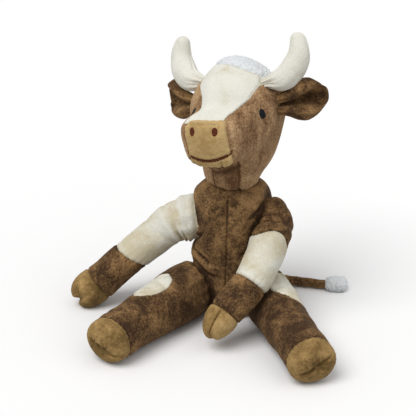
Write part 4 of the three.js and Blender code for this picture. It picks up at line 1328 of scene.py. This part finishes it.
def make_head():
    head = head_cover()
    points = coordinates(head)
    seams = np.minimum(np.abs(blaze_field(points)), np.abs(nose_field(points)))
    low = points[:, 2] < points[:, 2].min() + ROOTS_HELD["head"]
    plump(head, (seams < 2 * SEAM_HELD) | low, PLUMP_CAPS["head"])
    divide(head, 2)
    points = coordinates(head)
    nose_gap = nose_field(points)
    swell(head, head_relief(points, nose_gap))
    chosen = {"nose_patch": face_sides(head, snap_seam(head, nose_gap))}
    for label, field in (
        ("crown_curls", crown_field), ("blaze_panel", blaze_field), ("throat_gusset", throat_field),
        ("head_right_panel", middle_field),
    ):
        chosen[label] = face_sides(head, snap_seam(head, field(coordinates(head))))
    chosen["head_left_panel"] = np.ones(len(head.data.polygons), bool)
    place_points(head, to_cow(coordinates(head)))
    corners = [v.co.copy() for v in head.data.vertices]
    skin = BVHTree.FromPolygons(corners, [tuple(face.vertices) for face in head.data.polygons])
    panels = part_panels(head, chosen)
    nod = (("neck", "head"), (0, 0, NECK_SOFT_FROM), (0, 0, NECK_SOFT_TO))
    curls = panels["crown_curls"]
    edge = -crown_field(to_head(coordinates(curls)))
    curl(curls, CROWN_CURL_RISE, CROWN_CURL_DEPTH, np.clip(edge / CROWN_CURLS_FROM, 0, 1))
    # along the nose's rim a painted highlight is laid over the patch's tone
    rim = nose_field(to_head(coordinates(panels["nose_patch"])))
    nose_tone_and_rim_highlight = NOSE_WEAR + NOSE_RIM_PAINTED_HIGHLIGHT * np.exp(-(rim / NOSE_RIM_HIGHLIGHT_WIDE) ** 2)
    left_nodes = ("head_left", "head_stuffing", "neck")
    for label, slot, nodes, fill, tone_and_painted_shading, moves in (
        ("head_left_panel", "brown_velour", left_nodes, "head", HEAD_WEAR, {"blend": nod}),
        ("head_right_panel", "brown_velour", ("head_right",), "head", HEAD_WEAR, {"blend": nod}),
        # the throat is drawn darker: painted shade under the chin
        ("throat_gusset", "brown_velour", ("throat",), "head", THROAT_PAINTED_SHADE, {"blend": nod}),
        # the blaze is drawn lighter: painted light where it faces the light
        ("blaze_panel", "cream_plush", ("blaze",), "head", BLAZE_PAINTED_LIGHT, {"body": "head"}),
        ("nose_patch", "tan_plush", ("muzzle",), "head", nose_tone_and_rim_highlight, {"body": "head"}),
        ("crown_curls", "white_fleece", ("crown_fleece",), "fleece", None, {"body": "head"}),
    ):
        finish_piece(panels[label], slot, nodes, fill, tone_and_painted_shading=tone_and_painted_shading, **moves)
    return skin


def curl(obj, rise, depth, share=1.0):
    """Turns smooth cloth into curly fleece: round curls, a few millimetres each."""
    points = coordinates(obj)
    near = np.array([noise.voronoi(Vector(p) / CURL_SIZE)[0][0] for p in points])
    fine = np.array([noise.noise(Vector(p) / CURL_FINE) for p in points])
    swell(obj, (rise + depth * (0.45 - near) + 0.4 * fine) * share)


def eye_centre(side):
    turn = EYE_TURNS[side]
    aside, rise = EYE_PLACES[side]
    forward = np.array([math.sin(turn), -math.cos(turn), 0]) * EYE_REACH
    return forward + np.array([math.cos(turn) * aside, math.sin(turn) * aside, rise])


def mouth_height(x):
    return MOUTH_RISE + MOUTH_SAG * ((x - MOUTH_SIDE) / MOUTH_HALF) ** 2


def on_skin(skin, starts, way, rise):
    """Where sight lines along a way meet a skin, with a rise above it."""
    places = []
    for start, lift in zip(starts, np.broadcast_to(rise, len(starts))):
        hit, out, _, _ = skin.ray_cast(Vector(start) * MM, Vector(way))
        places.append(np.array(hit + out * lift * MM) / MM)
    return np.array(places)


def on_head(skin, aside, height, turn, rise):
    """Places on the head that lie aside and at a height as seen from a turn, which is 0 from the front."""
    way = np.array([math.sin(turn), -math.cos(turn), 0])
    level = np.array([math.cos(turn), math.sin(turn), 0])
    starts = way * SIGHT_FROM + np.outer(aside, level) + np.outer(height, (0, 0, 1))
    return on_skin(skin, to_cow(starts), head_array[:3, :3] @ -way, rise)


def sewn_oval(name, skin, size, place, turn, lean, slot, node):
    """A satin-stitched oval that bulges a little from the skin."""
    bm = bmesh.new()
    profile = [bm.verts.new((ring, 0, 0)) for ring in SATIN_RINGS]
    spin_round(bm, profile, SATIN_SIDES)
    obj = new_object(name, bm)
    flat = coordinates(obj, 1.0)
    bulge = np.sqrt(np.maximum(0, 1 - (flat[:, :2] ** 2).sum(axis=1)))
    x, z = flat[:, 0] * size[0] / 2, flat[:, 1] * size[1] / 2
    aside = place[0] + x * math.cos(lean) - z * math.sin(lean)
    height = place[1] + x * math.sin(lean) + z * math.cos(lean)
    place_points(obj, on_head(skin, aside, height, turn, SATIN_BULGE * bulge - SATIN_SUNK))
    point_outwards(obj)
    finish_piece(obj, slot, (node,), body="head", thick=SATIN_THICK)


def sewn_thread(name, path, thick, slot, nodes, body):
    """A round thread along a path, a little uneven where its stitches lie."""
    thread = {
        "line": line_through(path), "rings": [(0, 0.7, 0.7), (0.1, 1, 1), (0.9, 1, 1), (1, 0.7, 0.7)],
        "wide": thick, "deep": thick, "sides": 10, "spacing": 0.8,
        "root_dome": thick / 3, "tip_dome": thick / 3, "sideways": (0, 0, 1),
    }
    obj = stuffed_form(name, thread)
    swell(obj, 0.1 * thick * np.cos(attribute(obj, "along") * 2 * math.pi / STITCH_PITCH))
    finish_piece(obj, slot, nodes, body=body, thick=0)


def make_face(skin):
    for side, name in SIDE_NAMES.items():
        eye = ((EYE_WIDE, EYE_HIGH), EYE_PLACES[side], EYE_TURNS[side], EYE_LEAN)
        sewn_oval(f"eye_{name}_oval", skin, *eye, "navy_thread", f"eye_{name}")
        place = (NOSTRIL_CENTRE + side * NOSTRIL_SIDE, NOSTRIL_RISE)
        nostril = ((NOSTRIL_WIDE, NOSTRIL_HIGH), place, 0, 0)
        sewn_oval(f"nostril_{name}_oval", skin, *nostril, "rust_thread", f"nostril_{name}")
    x = MOUTH_SIDE + np.linspace(-MOUTH_HALF, MOUTH_HALF, MOUTH_STEPS)
    path = on_head(skin, x, mouth_height(x), 0, MOUTH_RAISED)
    sewn_thread("mouth_thread", path, MOUTH_THREAD, "brown_thread", ("mouth",), "head")


# Horns

def make_horn(side):
    name = f"horn_{SIDE_NAMES[side]}"
    horn = stuffed_form(f"{name}_cloth", horns[side], grow=-HORN_SLACK)
    plump(horn, attribute(horn, "along") < ROOTS_HELD["horn"], PLUMP_CAPS["horn"])
    divide(horn, 2)
    along, across, through = (attribute(horn, label) for label in ("along", "across", "through"))
    run = np.arctan2(through, across) * HORN_ROOT_RADIUS
    outwards = puckers(np.maximum(along - HORN_GATHERS_TO, 0), run, "horn")
    outwards += lumps(coordinates(horn), "horn", side)
    outwards += roll(across * HORN_THICK / 2, *SEAMS["horn"]) * (through > 0)
    swell(horn, outwards)
    place_points(horn, to_cow(coordinates(horn)))
    # the horns are drawn lighter: painted light where they face the light
    finish_piece(
        horn, "cream_plush", (name, f"{name}_stuffing"), "horn", body="head", tone_and_painted_shading=HORN_PAINTED_LIGHT, thick=0,
    )


# Ears

def ear_frame(side):
    """An ear's root, with its ways outwards and backwards, in the head's frame."""
    root = np.array([side * EAR_ROOT_SIDE + SKULL_ASIDE, EAR_ROOT_BACK, EAR_RISE])
    out = np.array([side * math.cos(EAR_SWEEP), math.sin(EAR_SWEEP), math.tan(EAR_LIFT)])
    back = np.array([-side * math.sin(EAR_SWEEP), math.cos(EAR_SWEEP), 0])
    return root, out, back


def ear_surface(side, along, high, puff):
    """A leaf of cloth whose upper and lower lobes roll forwards round a hollow that widens to the tip."""
    root, out, back = ear_frame(side)
    tall, hollow, lobes, valley = (
        smooth_values(EAR_STATIONS, values, along)[:, 0]
        for values in (EAR_HALF_HEIGHTS, EAR_HOLLOW, EAR_LOBES, EAR_VALLEY_SHARES)
    )
    edge = np.abs(high)
    reach = EAR_LENGTH * along * (1 - EAR_CORNER * edge ** 3)
    rise = tall * high * (1 - EAR_NARROWING * edge ** 3) + EAR_RAISED * along
    inside = (1 - edge ** 4) * (1 - along ** 6)
    in_valley = np.clip(1 - (edge / valley) ** 2, 0, 1)
    lobe_from = EAR_LOBE_FROM * valley
    on_lobe = np.clip((edge - lobe_from) / (1 - lobe_from), 0, 1)
    deep = hollow * in_valley - lobes * np.sin(math.pi * on_lobe ** 0.8) ** 0.8 - 0.5 * lobes * on_lobe ** 3
    deep += EAR_PLEAT * np.cos(EAR_PLEATS * math.pi * high) * np.clip(1 - EAR_PLEAT_FADE * along, 0, 1)
    deep += np.sign(puff) * (EAR_RIM + (abs(puff) - EAR_RIM) * inside)
    return root + reach[:, None] * out + deep[:, None] * back + rise[:, None] * np.array([0, 0, 1.0])


def ear_layer(name, side, puff, node):
    bm = bmesh.new()
    bmesh.ops.create_grid(bm, x_segments=26, y_segments=34, size=1)
    obj = new_object(name, bm)
    flat = coordinates(obj, 1.0)
    place_points(obj, to_cow(ear_surface(side, (flat[:, 0] + 1) / 2, flat[:, 1], puff)))
    divide(obj, 1)
    root, out, back = ear_frame(side)
    if (outward_ways(obj) @ (head_array[:3, :3] @ back)).sum() * puff < 0:
        obj.data.flip_normals()
    soft = to_cow([root, root + out * EAR_SOFT])
    body = f"ear_{SIDE_NAMES[side]}"
    flop = (("head", body), soft[0], soft[1])
    finish_piece(obj, "brown_plush", (node,), "ear", blend=flop, thick=EAR_LAYER)


def make_ear(side):
    name = SIDE_NAMES[side]
    ear_layer(f"ear_{name}_back_cloth", side, EAR_PUFF, f"ear_{name}_back")
    ear_layer(f"ear_{name}_lining_cloth", side, -EAR_PUFF, f"ear_{name}_lining")


# Tail

def make_tail():
    form = {
        "line": line_through(scaled_points(TAIL_ROOT, TAIL_LINE_SHARES, TAIL_LENGTH)),
        "rings": TAIL_RING_SHARES, "wide": TAIL_THICK, "deep": TAIL_THICK, "sides": 16, "spacing": 3,
        "root_dome": TAIL_THICK / 2, "sideways": (0, 0, 1),
    }
    length = line_length(form["line"])
    tail = stuffed_form("tail_tube", form, grow=-TAIL_SLACK)
    divide(tail, 2)
    run = attribute(tail, "across") * TAIL_END_RADIUS
    outwards = lumps(coordinates(tail), "tail")
    outwards += puckers(length - attribute(tail, "along"), run, "tail")
    swell(tail, outwards)
    rest_on_floor(tail)
    bend = (("torso", "tail"), TAIL_ROOT, [at + more for at, more in zip(TAIL_ROOT, TAIL_BEND)])
    finish_piece(tail, "brown_plush", ("tail",), "tail", blend=bend, tone_and_painted_shading=TAIL_WEAR, thick=0)
    make_tuft(*along_line(form["line"], np.array([length - 1])))


def make_tuft(ends, ways):
    """The fleece at the tail's end."""
    rise = np.array([0, 0, (TUFT_THICK - TAIL_THICK) / 2])
    form = {
        "line": line_through([ends[0], ends[0] + ways[0] * TUFT_LENGTH + rise]),
        "rings": TUFT_RING_SHARES, "wide": TUFT_THICK, "deep": TUFT_THICK, "sides": 24, "spacing": 2.5,
        "tip_dome": TUFT_DOME, "sideways": (0, 1, 0),
    }
    tuft = stuffed_form("tail_fleece", form, grow=-SLACK)
    divide(tuft, 2)
    curl(tuft, TUFT_CURL_RISE, TUFT_CURL_DEPTH)
    rest_on_floor(tuft)
    finish_piece(tuft, "white_fleece", ("tail_tuft",), "fleece", body="tail", thick=0)


# Studio

def make_camera():
    camera = bpy.data.objects.new("camera", bpy.data.cameras.new("camera"))
    bpy.context.scene.collection.objects.link(camera)
    bpy.context.scene.camera = camera
    camera.data.lens = CAMERA_LENS
    camera.data.clip_start = 0.05
    away = Vector((
        math.sin(CAMERA_TURN) * math.cos(CAMERA_RISE), -math.cos(CAMERA_TURN) * math.cos(CAMERA_RISE),
        math.sin(CAMERA_RISE),
    ))
    camera.location = (Vector(CAMERA_TARGET) + away * CAMERA_DISTANCE) * MM
    camera.rotation_euler = away.to_track_quat("Z", "Y").to_euler()


def make_sun(name, way, spread, strength):
    light = bpy.data.lights.new(name, "SUN")
    light.angle = spread
    light.energy = strength
    lamp = bpy.data.objects.new(name, light)
    bpy.context.scene.collection.objects.link(lamp)
    lamp.rotation_euler = Vector(way).to_track_quat("Z", "Y").to_euler()


def white_to_the_eye(tree, unseen, seen):
    """One surface for what the camera sees, straight or in a gloss, and another for the light on the cow."""
    path = add_node(tree, "ShaderNodeLightPath").outputs
    either = {"operation": "MAXIMUM"}
    rays = {"i0": path["Is Camera Ray"], "i1": path["Is Glossy Ray"]}
    share = add_node(tree, "ShaderNodeMath", either, **rays).outputs[0]
    return add_node(tree, "ShaderNodeMixShader", i0=share, i1=unseen, i2=seen).outputs[0]


def make_floor():
    """Pale paper that reaches far past the picture's edges."""
    bm = bmesh.new()
    bmesh.ops.create_circle(bm, cap_ends=True, segments=48, radius=FLOOR_RADIUS * MM)
    floor = new_object("studio_floor", bm)
    floor.location.z = -FLOOR_DROP * MM
    paper = bpy.data.materials.new("pale_paper")
    paper.use_nodes = True
    tree = paper.node_tree
    dull = add_node(tree, "ShaderNodeBsdfDiffuse", Color=linear(FLOOR_SHADE))
    white = add_node(tree, "ShaderNodeBsdfDiffuse", Color=linear("#ffffff"))
    surface = white_to_the_eye(tree, dull.outputs[0], white.outputs[0])
    tree.links.new(surface, tree.nodes["Material Output"].inputs["Surface"])
    floor.data.materials.append(paper)


def make_studio():
    scene = bpy.context.scene
    scene.view_settings.view_transform = "Standard"
    make_floor()
    world = bpy.data.worlds.new("studio")
    scene.world = world
    world.use_nodes = True
    tree = world.node_tree
    soft = add_node(tree, "ShaderNodeBackground", Color=(1, 1, 1, 1), Strength=ROOM_LIGHT)
    pale = add_node(tree, "ShaderNodeBackground", Color=(1, 1, 1, 1), Strength=1.0)
    surface = white_to_the_eye(tree, soft.outputs[0], pale.outputs[0])
    tree.links.new(surface, tree.nodes["World Output"].inputs["Surface"])
    for name, (way, spread, strength) in SUNS.items():
        make_sun(name, way, spread, strength)


make_camera()
make_studio()
make_torso()
for cow_side in (1, -1):
    make_leg(cow_side)
    make_arm(cow_side)
head_skin = make_head()
make_face(head_skin)
for cow_side in (1, -1):
    make_horn(cow_side)
    make_ear(cow_side)
make_tail()
